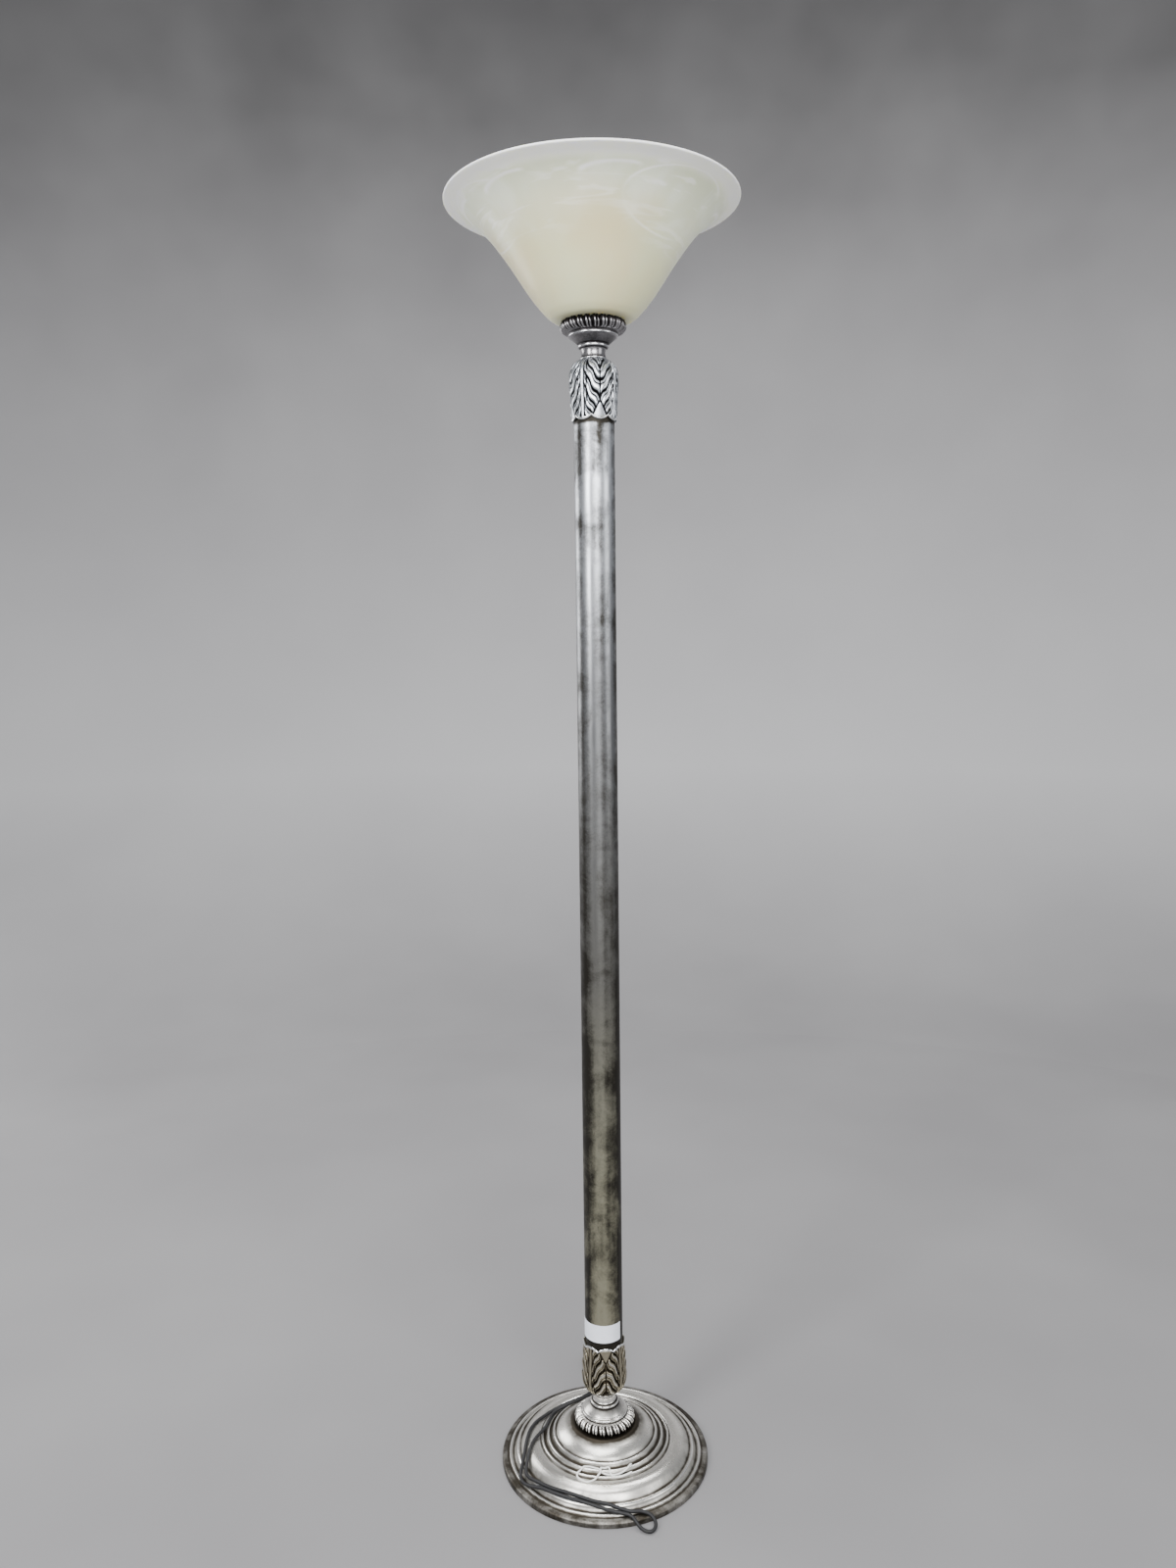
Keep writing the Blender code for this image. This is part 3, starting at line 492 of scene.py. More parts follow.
def draped_route():
    """The doubled run over the base, as (x, y, lift): round the left, along the front and back."""
    behind_column = [(-0.0150, 0.140), (-0.0150, 0.118), (-0.0185, 0.099), (-0.0250, 0.0830)]
    left_rear = [(-0.0435, 0.0655), (-0.0630, 0.0565)]
    outer_left = [(-0.0800, 0.0510), (-0.0935, 0.0400), (-0.1060, 0.0270), (-0.1150, 0.0100)]
    outer_left += [(-0.1190, -0.0100), (-0.1215, -0.0300), (-0.1240, -0.0500), (-0.1258, -0.0690)]
    inner_left = [(-0.0780, 0.0430), (-0.0840, 0.0290), (-0.0900, 0.0120), (-0.0985, -0.0005)]
    inner_left += [(-0.1051, -0.0110), (-0.1110, -0.0250), (-0.1150, -0.0420), (-0.1178, -0.0620)]
    front = [(-0.0960, -0.0940), (-0.0760, -0.1070), (-0.0529, -0.1185), (-0.0235, -0.1300)]
    front += [(0.0015, -0.1368), (0.0220, -0.1415), (0.0350, -0.1440)]
    half = CORD_SPACING / 2
    shared = behind_column + left_rear
    over = list(beside(shared, -half)) + inner_left + [(-0.1140, -0.0760)] + list(beside(front, -half))
    turn = [(0.0500, -0.1395), (0.0640, -0.1440), (0.0690, -0.1560), (0.0620, -0.1665), (0.0490, -0.1630)]
    back = list(beside(front, half))[::-1] + [(-0.1190, -0.0842)] + outer_left[::-1]
    plan = over + turn + back + list(beside(shared, half))[::-1]
    from_hank = [(-0.0080, 0.1850, 0.0050), (-0.0110, 0.1640, 0.0015)]
    to_plug = [(-0.0205, 0.1620, 0.0010)]
    return from_hank + [(x, y, 0.0) for x, y in plan] + to_plug


def add_power_cord(material):
    """One black cord from the gland, through the hank and over the base, to the plug."""
    start = [(EXIT_X, EXIT_Y + 0.0012, EXIT_HEIGHT), (EXIT_X, EXIT_Y + 0.020, EXIT_HEIGHT)]
    start += [(EXIT_X + 0.0004, EXIT_Y + 0.040, 0.0030)]
    hank = smooth_through(start + hank_route(), 3)
    draped = laid(draped_route(), 0.003, CORD_RADIUS)
    end = [(PLUG_X, PLUG_END_Y - 0.008, PLUG_HEIGHT), (PLUG_X, PLUG_END_Y, PLUG_HEIGHT)]
    joint_a = smooth_through([hank[-4], hank[-1], draped[0], draped[6]], 8)[8:17]
    joint_b = smooth_through([draped[-6], draped[-1], *end], 8)[8:]
    points = np.vstack([hank, joint_a[1:-1], draped, joint_b[1:]])
    points = evenly_spaced(points, 0.003)
    cord = tube("power_cord_whole", points, CORD_RADIUS)
    nodes = ["cord_lead", "cord_hank", "power_cord"]
    fit_out(cord, LAMP, nodes, material)
    return cord


def add_string(material):
    """The short white string that lies across the ridges at the front."""
    over = 2 * STRING_RADIUS + 0.0003
    route = [
        (0.0374, -0.0746, 0.0),
        (0.0328, -0.0815, 0.0),
        (0.0254, -0.0869, 0.0),
        (0.0139, -0.0915, 0.0),
        (0.0025, -0.0915, 0.0),
        (-0.0046, -0.0900, 0.0),
        (-0.0103, -0.0859, 0.0),
        (-0.0231, -0.0796, 0.0),
        (-0.0346, -0.0817, 0.0),
        (-0.0420, -0.0905, 0.0),
        (-0.0375, -0.0995, 0.0),
        (-0.0261, -0.1053, 0.0),
        (-0.0147, -0.0983, 0.0),
        (-0.0085, -0.0925, over),
        (-0.0070, -0.0868, over),
        (-0.0020, -0.0845, 0.0),
        (0.0040, -0.0855, over),
        (0.0060, -0.0915, over),
        (0.0100, -0.0965, 0.0),
        (0.0200, -0.0960, 0.0),
        (0.0300, -0.0925, 0.0),
        (0.0380, -0.0880, 0.0),
    ]
    points = laid(route, 0.0015, STRING_RADIUS, passes=3)
    string = tube("tie_string_lying", points, STRING_RADIUS, 3)
    fit_out(string, LAMP, ["tie_string"], material)


# ---------------------------------------------------------------- materials
class Shader:
    """A Principled material with short ways to add nodes to it."""

    def __init__(self, name):
        self.material = bpy.data.materials.new(name)
        self.material.use_nodes = True
        self.tree = self.material.node_tree
        self.surface = self.tree.nodes["Principled BSDF"]
        self.place = self.node("ShaderNodeTexCoord").outputs["Object"]

    def node(self, kind, inputs=None, **settings):
        """A new node, with a plain value or an output on each of the inputs named."""
        made = self.tree.nodes.new(kind)
        for key, value in settings.items():
            setattr(made, key, value)
        for key, value in (inputs or {}).items():
            self.put(value, made.inputs[key])
        return made

    def link(self, output, socket):
        self.tree.links.new(output, socket)

    def put(self, value, socket):
        """Links an output to a socket, or sets a plain value on it."""
        if isinstance(value, bpy.types.NodeSocket):
            self.link(value, socket)
        else:
            socket.default_value = value

    def set(self, **values):
        """Sets the shader's own sockets by name, with underscores for spaces."""
        for key, value in values.items():
            socket = self.surface.inputs[key.replace("_", " ")]
            if socket.type == "RGBA" and isinstance(value, tuple):
                value = (*value, 1.0)
            self.put(value, socket)

    def stretched(self, scale):
        """The object's own coordinates, scaled along each axis."""
        return self.node("ShaderNodeMapping", {"Vector": self.place, "Scale": scale}).outputs["Vector"]

    def noise(self, scale, detail=4.0, roughness=0.55, distortion=0.0, vector=None):
        inputs = {"Vector": vector or self.place, "Scale": scale, "Detail": detail}
        inputs.update({"Roughness": roughness, "Distortion": distortion})
        return self.node("ShaderNodeTexNoise", inputs).outputs["Fac"]

    def math(self, operation, a, b=0.0, clamp=False):
        made = self.node("ShaderNodeMath", {0: a, 1: b}, operation=operation, use_clamp=clamp)
        return made.outputs[0]

    def spread(self, value, low, high, to_low=0.0, to_high=1.0, smooth=True):
        """Maps a range of values onto another, clamped."""
        inputs = {"Value": value, "From Min": low, "From Max": high, "To Min": to_low, "To Max": to_high}
        kind = "SMOOTHSTEP" if smooth else "LINEAR"
        return self.node("ShaderNodeMapRange", inputs, interpolation_type=kind).outputs["Result"]

    def mix(self, share, a, b, blend="MIX"):
        a, b = ((*colour, 1.0) if isinstance(colour, tuple) else colour for colour in (a, b))
        inputs = {"Factor": share, "A": a, "B": b}
        return self.node("ShaderNodeMix", inputs, data_type="RGBA", blend_type=blend).outputs["Result"]

    def ramp(self, value, stops):
        """A colour that runs through (value, colour) stops, in rising order."""
        low, high = stops[0][0], stops[-1][0]
        made = self.node("ShaderNodeValToRGB")
        self.link(self.spread(value, low, high, smooth=False), made.inputs["Fac"])
        band = made.color_ramp
        while len(band.elements) < len(stops):
            band.elements.new(0.5)
        for element, (at, colour) in zip(band.elements, stops):
            element.position = (at - low) / (high - low)
            element.color = (*colour, 1.0)
        return made.outputs["Color"]

    def attribute(self, name):
        return self.node("ShaderNodeAttribute", attribute_name=name).outputs["Fac"]

    def distance_from(self, point):
        inputs = {0: self.place, 1: tuple(point)}
        return self.node("ShaderNodeVectorMath", inputs, operation="DISTANCE").outputs["Value"]

    def height(self):
        return self.node("ShaderNodeSeparateXYZ", {"Vector": self.place}).outputs["Z"]

    def bump(self, value, strength, distance):
        made = self.node("ShaderNodeBump", {"Strength": strength, "Distance": distance, "Height": value})
        self.link(made.outputs["Normal"], self.surface.inputs["Normal"])


def antique_silver(name, bright, dark, rough=(0.22, 0.48), contrast=1.0, grain=0.0005,
                   polish_and_highlight=(0.90, 0.91, 0.92)):
    """Rubbed silver over a dark patina: dark in the recesses, bright on edges, mottled between.

    The bright colour may be a list of (height, colour) stops instead. The wear values also carry painted
    highlights and painted shade in places, and the polish colour shows both on polished crests and on painted
    highlights.
    """
    made = Shader(name)
    wear = made.attribute("wear")
    blotches = made.noise(22.0, 6.0, 0.62, 0.4)
    specks = made.noise(340.0, 8.0, 0.7)
    brushed = made.noise(70.0, 5.0, 0.6, vector=made.stretched((1.0, 1.0, 0.10)))
    mixed = made.math("ADD", made.math("MULTIPLY", blotches, 0.80), made.math("MULTIPLY", specks, 0.25))
    mixed = made.math("ADD", mixed, made.math("MULTIPLY", brushed, 0.35))
    uneven = made.math("MULTIPLY", made.math("SUBTRACT", mixed, 0.70), 1.6 * contrast)
    amount = made.math("ADD", made.math("MULTIPLY", wear, 1.10), uneven)
    if isinstance(bright, list):
        bright = made.ramp(made.height(), bright)
    colour = made.mix(made.spread(amount, 0.12, 1.0), dark, bright)
    # Polish colour above a wear of about 1: polished crests, and painted highlights such as the capitals'
    # rims
    colour = made.mix(made.spread(wear, 0.98, 1.30), colour, polish_and_highlight)
    shine = made.spread(amount, 0.1, 1.2, rough[1], rough[0])
    made.set(Base_Color=colour, Metallic=0.92, Roughness=shine)
    made.bump(made.math("ADD", specks, made.math("MULTIPLY", blotches, 0.8)), 0.20, grain)
    return made.material


def plain_material(name, colour, metallic, roughness, grain=400.0, depth=0.0002, variation=0.25):
    """A simple finish with its own grain: uneven colour, roughness and a fine bump."""
    made = Shader(name)
    fine = made.noise(grain, 6.0, 0.6)
    broad = made.noise(grain / 12, 4.0, 0.6)
    darker = tuple(channel * (1 - variation) for channel in colour)
    lighter = tuple(min(1.0, channel * (1 + variation)) for channel in colour)
    both = made.math("ADD", made.math("MULTIPLY", fine, 0.5), made.math("MULTIPLY", broad, 0.5))
    share = made.spread(both, 0.35, 0.65)
    made.set(Base_Color=made.mix(share, darker, lighter), Metallic=metallic)
    smoothest, roughest = max(0.05, roughness - 0.08), min(1.0, roughness + 0.08)
    made.set(Roughness=made.spread(both, 0.3, 0.7, smoothest, roughest))
    made.bump(fine, 0.3, depth)
    return made.material


def swirl(made, centre, radius, width, middle, reach):
    """A thin curved line in the glass: where a sphere meets it, faded out away from its middle."""
    away = made.distance_from(centre)
    line = made.spread(made.math("ABSOLUTE", made.math("SUBTRACT", away, radius)), 0.0, width, 1.0, 0.0)
    fade = made.spread(made.distance_from(middle), reach * 0.75, reach, 1.0, 0.0)
    return made.math("MULTIPLY", line, fade)


def swirls(made):
    """Large and small swirls in the glass, each kind repeated round it at uneven turns."""
    large = ((0.0491, -0.0421, 1.8763), 0.1318, 0.0013, (0.110, -0.110, 1.828), 0.092)
    small = ((0.0111, -0.0476, 1.9178), 0.1624, 0.0012, (0.020, -0.172, 1.826), 0.048)
    total = 0.0
    for kind, turns in ((large, (0.0, 118.0, 241.0)), (small, (0.0, -50.0, 93.0, 150.0, 215.0, 268.0))):
        centre, radius, width, middle, reach = kind
        for turn in turns:
            spin = Matrix.Rotation(math.radians(turn), 3, "Z")
            line = swirl(made, spin @ Vector(centre), radius, width, spin @ Vector(middle), reach)
            total = made.math("MAXIMUM", line, total)
    return total


def alabaster(name):
    """Frosted cream glass with pale swirls, whiter and greyer towards the flared rim."""
    made = Shader(name)
    height = made.height()
    cloud = made.noise(11.0, 4.0, 0.55, 1.5)
    drift = made.noise(5.0, 3.0, 0.5, 0.8)
    streaks = made.noise(20.0, 3.0, 0.5, 1.2, made.stretched((0.55, 0.55, 4.5)))
    streak = made.spread(streaks, 0.54, 0.66)
    uneven = made.math("ADD", height, made.math("MULTIPLY", made.math("SUBTRACT", drift, 0.5), 0.10))
    flare = made.spread(uneven, 1.740, 1.806)
    cream = made.mix(made.spread(drift, 0.35, 0.65), (0.725, 0.660, 0.400), (0.725, 0.730, 0.480))
    pale = made.mix(made.spread(cloud, 0.35, 0.65), (0.765, 0.790, 0.630), (0.830, 0.855, 0.750))
    colour = made.mix(flare, cream, pale)
    white = (0.98, 0.98, 0.96)
    colour = made.mix(made.math("MULTIPLY", made.math("MULTIPLY", streak, flare), 0.65), colour, white)
    colour = made.mix(swirls(made), colour, white)
    colour = made.mix(made.spread(height, 1.8150, 1.8240), colour, white)
    made.set(Base_Color=colour, Roughness=0.34, IOR=1.5, Subsurface_Weight=0.75, Subsurface_Scale=0.004)
    made.set(Subsurface_Radius=(1.0, 1.0, 0.8), Sheen_Weight=0.25, Sheen_Roughness=0.35)
    made.bump(cloud, 0.10, 0.0008)
    return made.material


def frosted_bulb(name):
    """White frosted bulb glass, a little uneven."""
    made = Shader(name)
    cloud = made.noise(60.0, 4.0, 0.5)
    grain = made.noise(900.0, 4.0, 0.6)
    colour = made.mix(made.spread(cloud, 0.35, 0.65), (0.86, 0.85, 0.81), (0.93, 0.93, 0.91))
    made.set(Base_Color=colour, Roughness=made.spread(cloud, 0.3, 0.7, 0.16, 0.28), IOR=1.5)
    made.set(Subsurface_Weight=0.3, Subsurface_Scale=0.003)
    made.bump(grain, 0.05, 0.0001)
    return made.material


def twisted_cotton(name):
    """White string: fine slanted strands over a fuzzy grain."""
    made = Shader(name)
    inputs = {"Vector": made.place, "Scale": 420.0, "Distortion": 3.0, "Detail": 2.0}
    strands = made.node("ShaderNodeTexWave", inputs, wave_type="BANDS", bands_direction="DIAGONAL")
    fuzz = made.noise(2200.0, 4.0, 0.6)
    strand_part = made.math("MULTIPLY", strands.outputs["Fac"], 0.6)
    both = made.math("ADD", strand_part, made.math("MULTIPLY", fuzz, 0.4))
    made.set(Base_Color=made.mix(both, (0.80, 0.79, 0.76), (0.97, 0.965, 0.95)), Metallic=0.0)
    made.set(Roughness=made.spread(both, 0.2, 0.8, 0.95, 0.8), Sheen_Weight=0.4, Sheen_Roughness=0.5)
    made.bump(both, 0.5, 0.0003)
    return made.material


# ---------------------------------------------------------------- lamp pieces
def base_wear_and_painted_light(angle, radius, height):
    """Crests of the rings are rubbed bright and the grooves stay dark; the crowns of the dome and the cushion
    are rubbed and carry a painted highlight, a painted shadow rings the foot of the column and the outer wall
    is darker.
    """
    crests = [0.0778, 0.0865, 0.0958, 0.1006, 0.1335, 0.1440]
    grooves = [0.0748, 0.0822, 0.0838, 0.0912, 0.0926, 0.0988, 0.1290, 0.1395, 0.1475]
    # Crowns of the dome and the cushion: rubbed, and brightened as a painted highlight
    worn = 0.55 + 0.34 * ridge(radius, 0.0660, 0.0062) + 0.34 * ridge(radius, 0.1110, 0.0085)
    for crest in crests:
        worn += 0.75 * ridge(radius, crest, 0.0010)
    for groove in grooves:
        worn -= 0.45 * ridge(radius, groove, 0.0018)
    # Painted shadow round the foot of the column, under the lower spool
    worn -= 0.62 * np.clip((0.0535 - radius) / 0.0050, 0, 1)
    worn -= 0.22 * np.clip((0.0630 - radius) / 0.0100, 0, 1)
    # Darker on the outer wall
    worn -= 0.30 * np.clip((radius - 0.147) / 0.004, 0, 1)
    return np.zeros_like(radius), np.clip(worn, 0, MOST_WORN)


def add_base(material):
    """The wide stepped shell, hollow underneath."""
    inside = np.array([
        (0.1543, 0.0006),
        (0.1543, 0.0056),
        (0.1480, 0.0066),
        (0.1370, 0.0083),
        (0.1270, 0.0168),
        (0.1100, 0.0273),
        (0.0980, 0.0268),
        (0.0740, 0.0373),
        (0.0600, 0.0473),
        (0.0450, 0.0525),
        (0.0060, 0.0525),
    ])
    line = np.vstack([refined(base_profile(), 0.0010), inside])
    shell = turned("base_shell_detailed", line, 192, base_wear_and_painted_light)
    fit_out(shell, LAMP, ["base_shell"], material)


def spool_line():
    """The turned casting as (radius, distance from its narrow end), from that end outwards."""
    corners = [
        (CASTING_HOLE, 0.0000, 0),
        (0.0180, 0.0000, 0.0008),
        (0.0187, 0.0010, 0.0008),
        (0.0184, 0.0022, 0.0008),
        (0.0168, 0.0040, 0.0020),
        (0.0162, 0.0090, 0.0040),
        (0.0170, 0.0135, 0.0030),
        (0.0190, 0.0152, 0.0010),
        (0.0213, 0.0162, 0.0010),
        (0.0216, 0.0180, 0.0010),
        (0.0209, 0.0194, 0.0008),
        (0.0206, 0.0203, 0.0008),
        (0.0238, 0.0226, 0.0030),
        (0.0283, 0.0262, 0.0060),
        (0.0312, 0.0293, 0.0030),
        (0.0330, 0.0299, 0.0008),
        (0.0345, 0.0304, 0.0008),
        (0.0347, 0.0322, 0.0010),
        (0.0335, 0.0336, 0.0010),
        (0.0343, 0.0352, 0.0010),
        (0.0410, 0.0373, 0.0030),
        (0.0442, 0.0408, 0.0030),
        (0.0447, 0.0448, 0.0030),
        (0.0430, 0.0488, 0.0020),
        (0.0412, SPOOL_LENGTH, 0),
    ]
    return filleted(corners)


SPOOL_INSIDE = [
    (0.0385, SPOOL_LENGTH),
    (0.0385, 0.0455),
    (0.0300, 0.0455),
    (0.0270, 0.0380),
    (0.0135, 0.0280),
    (0.0135, 0.0040),
    (CASTING_HOLE, 0.0040),
]


def gadroons(funnel_wear_and_shade, ring_wear_and_shade):
    """The relief of a spool: small split leaves round its wide ring, over plain turned bands."""

    def relief(angle, radius, distance):
        on_ring = np.clip((distance - 0.0352) / 0.0015, 0, 1) * np.clip((radius - 0.0345) / 0.0015, 0, 1)
        along = np.clip((distance - GADROON_START) / GADROON_LENGTH, 0, 1)
        across = (angle * GADROON_LEAVES / (2 * math.pi) + 0.25 * along) % 1.0 * 2 - 1
        gap = ridge(np.abs(across), 1, 0.30)
        split = ridge(across, -0.05 + 0.20 * along, 0.16)
        crest = ridge(across, -0.42 + 0.15 * along, 0.16) + 0.7 * ridge(across, 0.40, 0.16)
        # Painted shade on the gadroons' wide side, next to the base on the lower spool and the glass on the
        # upper
        under = np.clip((along - 0.50) / 0.30, 0, 1)
        out = 0.0008 - 0.0028 * gap - 0.0016 * split + 0.0006 * crest
        worn = ring_wear_and_shade - 1.1 * gap - 0.9 * split + 0.45 * crest - 0.9 * under
        plain = spool_wear_and_shading(distance, funnel_wear_and_shade)
        return on_ring * out, np.clip(on_ring * worn + (1 - on_ring) * plain, 0, MOST_WORN)

    return relief


def spool_wear_and_shading(distance, funnel_wear_and_shade):
    """Even wear on the neck, dark grooves and bright beads; the funnel gets brighter towards its lip, partly
    more wear there and partly a painted highlight, with painted shade near the neck.
    """
    on_funnel = np.clip((distance - 0.0196) / 0.0010, 0, 1) * np.clip((0.0302 - distance) / 0.0010, 0, 1)
    # Painted shade near the neck, painted highlight and wear towards the lip
    towards_lip = np.clip((distance - FUNNEL_START) / FUNNEL_LENGTH, 0, 1)
    worn = 0.80 * (1 - on_funnel) + funnel_wear_and_shade * (0.45 + 0.85 * towards_lip) * on_funnel
    for groove in (0.0030, 0.0148, 0.0200, 0.0345):
        worn -= 0.80 * ridge(distance, groove, 0.0009)
    for crest in (0.0010, 0.0170, 0.0312):
        worn += 0.60 * ridge(distance, crest, 0.0008)
    return worn


def add_spool(name, node, start, upward, funnel_wear_and_shade, ring_wear_and_shade, material):
    """The same casting at either end of the column, its narrow end at a height."""
    line = np.vstack([refined(spool_line(), 0.0007), SPOOL_INSIDE])
    steps = GADROON_LEAVES * GADROON_STEPS
    made = turned(name, line[::-1], steps, gadroons(funnel_wear_and_shade, ring_wear_and_shade), sharp_degrees=60.0)
    place_casting(made, node, start, upward, 0.0, material)


def place_casting(made, node, start, upward, turn_degrees, material):
    """Stands a casting made with its narrow end at 0 at its place on the column."""
    if not upward:
        made.data.transform(Matrix.Rotation(math.pi, 4, "X"))
    aimed(made, "Z", turn_degrees, (0.0, 0.0, start))
    fit_out(made, LAMP, [node], material)


def capital_line():
    """The outside of the leaf casting as (radius, distance from its narrow end)."""
    corners = [
        (0.0192, 0.0000),
        (0.0215, 0.0012),
        (0.0252, 0.0040),
        (0.0300, 0.0100),
        (0.0327, 0.0180),
        (0.0333, 0.0260),
        (0.0331, 0.0360),
        (0.0322, 0.0500),
        (0.0314, 0.0650),
        (0.0309, CAPITAL_LENGTH),
    ]
    return refined(smooth_through(corners, 4), 0.0006)


def leaf_shape(angle, distance, groove_width):
    """How far the leaf casting's surface stands out, and how worn it is.

    Four broad leaves: veins rise steeply beside each midrib and bend towards the next leaf, and
    a plain pointed tip stands where two leaves meet at the open end.
    """
    quarter = 2 * math.pi / CAPITAL_LEAVES
    across = np.abs((angle / quarter) % 1.0 - 0.5) * 2  # 0 on the midrib, 1 where two leaves meet
    from_midrib = across * HALF_LEAF_DEGREES
    from_edge = HALF_LEAF_DEGREES - from_midrib
    above_apex = distance > TIP_APEX
    tip_share = np.clip((distance - TIP_APEX) / (CAPITAL_LENGTH - TIP_APEX), 0, 1)
    tip_half = TIP_HALF_DEGREES * tip_share**0.85
    in_tip = np.clip((tip_half - from_edge) / 1.2 + 0.5, 0, 1) * above_apex
    tip_edge = ridge(from_edge, tip_half, 2.0) * above_apex
    wander = 0.10 * np.sin(9.0 * across + 130.0 * distance) + 0.08 * np.sin(angle * 3 + 60.0 * distance)
    band = ((distance - VEIN_RISE * across**VEIN_CURVE) / VEIN_PITCH + wander) % 1.0
    from_groove = np.minimum(band, 1 - band)
    on_leaf = np.clip((from_midrib - 3.5) / 2.0, 0, 1)
    groove = ridge(from_groove, 0, groove_width) * on_leaf
    hairline = ridge(band, 0.36, 0.050) * on_leaf
    crest = ridge(band, 0.66, 0.13) * on_leaf
    tilt = 0.0010 * (band - 0.5) * on_leaf
    stem = ridge(from_midrib, 0, 2.8)
    stem_side = ridge(from_midrib, 5.2, 1.5) + ridge(from_midrib, 11.5, 1.4) * (distance < 0.060)
    seam = ridge(from_edge, 0, 1.4) * (distance < TIP_APEX + 0.002)
    out = 0.0005 - 0.0026 * groove - 0.0012 * hairline + tilt + 0.0004 * crest
    out = out + 0.0006 * stem - 0.0018 * stem_side - 0.0018 * seam
    worn = 0.70 - 1.05 * groove - 0.55 * hairline + 0.48 * crest
    worn = worn + 0.20 * stem - 0.85 * stem_side - 1.0 * seam
    out = out * (1 - in_tip) + 0.0003 * in_tip - 0.0018 * tip_edge
    worn = worn * (1 - in_tip) + 0.85 * in_tip - 1.0 * tip_edge
    return out, worn


def leaves(groove_width):
    """The relief of a capital, with grooves between its veins as wide as a share of their pitch."""

    def relief(angle, radius, distance):
        outside = np.clip((radius - 0.0290) / 0.0006, 0, 1) + (distance < 0.012) * (radius > 0.0193)
        outside = np.clip(outside, 0, 1)
        out, worn = leaf_shape(angle, distance, groove_width)
        out = out * np.clip(distance / 0.006, 0.25, 1)
        # The raised rim at the open end, with a painted highlight along it from its high wear value
        edge = np.clip((distance - CAPITAL_LENGTH + CAPITAL_EDGE_WIDTH) / 0.0010, 0, 1)
        out = out * (1 - edge) + 0.0012 * edge
        worn = worn * (1 - edge) + 1.45 * edge
        return out * outside, np.clip(worn * outside + 0.3 * (1 - outside), 0, MOST_WORN)

    return relief


def add_capital(name, node, start, upward, turn_degrees, groove_width, material):
    """The leaf casting with its scalloped open end."""
    bore = POLE_RADIUS + 0.0004
    inside = [
        (bore, CAPITAL_LENGTH),
        (bore, CAPITAL_LEDGE),
        (0.0240, CAPITAL_LEDGE),
        (0.0150, 0.0050),
        (CASTING_HOLE, 0.0050),
        (CASTING_HOLE, 0.0000),
    ]
    line = np.vstack([capital_line(), inside])
    made = turned(name, line[::-1], 360, leaves(groove_width), sharp_degrees=60.0)
    scallop(made)
    place_casting(made, node, start, upward, turn_degrees, material)


def scallop(made):
    """Draws the open end of a capital back between its eight tips."""
    for vertex in made.data.vertices:
        share = max(0.0, (vertex.co.z - TIP_APEX) / (CAPITAL_LENGTH - TIP_APEX))
        lobe = abs(math.cos(CAPITAL_LEAVES * math.atan2(vertex.co.y, vertex.co.x))) ** 0.7
        vertex.co.z -= SCALLOP_DEPTH * (1 - lobe) * share**1.5


def pole_wear_and_painted_light(angle, radius, height):
    """Streaked round the pole with painted reflections and given a painted highlight in front and behind,
    with a dark ring above the lower capital and a painted shadow ring under the upper one.
    """
    low_ring = np.clip((POLE_DARK_RING_TOP - height) / 0.0015, 0, 1)
    top_edge = UPPER_CAPITAL_START - CAPITAL_LENGTH
    # Painted shadow on the pole just under the upper capital's scalloped end
    shadow_ring_under_capital = np.clip((height - top_edge + 0.0060) / 0.0040, 0, 1)
    # Painted highlight: brightest in front and behind
    front_back_highlight = np.abs(np.sin(angle))
    # Painted reflections: bright and dark streaks at fixed turns round the pole
    streaks = 0.16 * np.cos(6 * angle + math.radians(270)) + 0.07 * np.cos(17 * angle)
    # Low down the painted highlight narrows to the front and back and the sides get painted shade
    low_down = np.clip((POLE_LOW_DOWN_TOP - height) / POLE_LOW_DOWN_FADE, 0, 1)
    worn = (0.40 + 0.26 * front_back_highlight) * (1 - low_down) + (0.14 + 0.54 * front_back_highlight**4) * low_down
    worn = np.maximum(worn + streaks * (1 - 0.5 * low_down), 0)
    return np.zeros_like(radius), worn * (1 - np.maximum(low_ring, shadow_ring_under_capital))


def add_pole(material):
    """The straight tube between the capitals."""
    low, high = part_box("pole")
    bore = POLE_RADIUS - POLE_WALL
    outside = refined(np.array([(POLE_RADIUS, high[2]), (POLE_RADIUS, low[2])]), 0.002)
    line = np.vstack([outside, [(bore, low[2]), (bore, high[2])]])
    made = turned("pole_detailed", line, 96, pole_wear_and_painted_light)
    fit_out(made, LAMP, ["pole"], material)


def glass_outside():
    """The outer surface of the bowl, from its seat up to the rim."""
    wall = [
        (0.0440, 1.6724),
        (0.0537, 1.6740),
        (0.0604, 1.6781),
        (0.0684, 1.6856),
        (0.0869, 1.7083),
        (0.1119, 1.7457),
        (0.1296, 1.7703),
        (0.1458, 1.7903),
        (0.1630, 1.8066),
        (0.1812, 1.8192),
        (0.1975, 1.8262),
    ]
    return smooth_through(wall, 5)


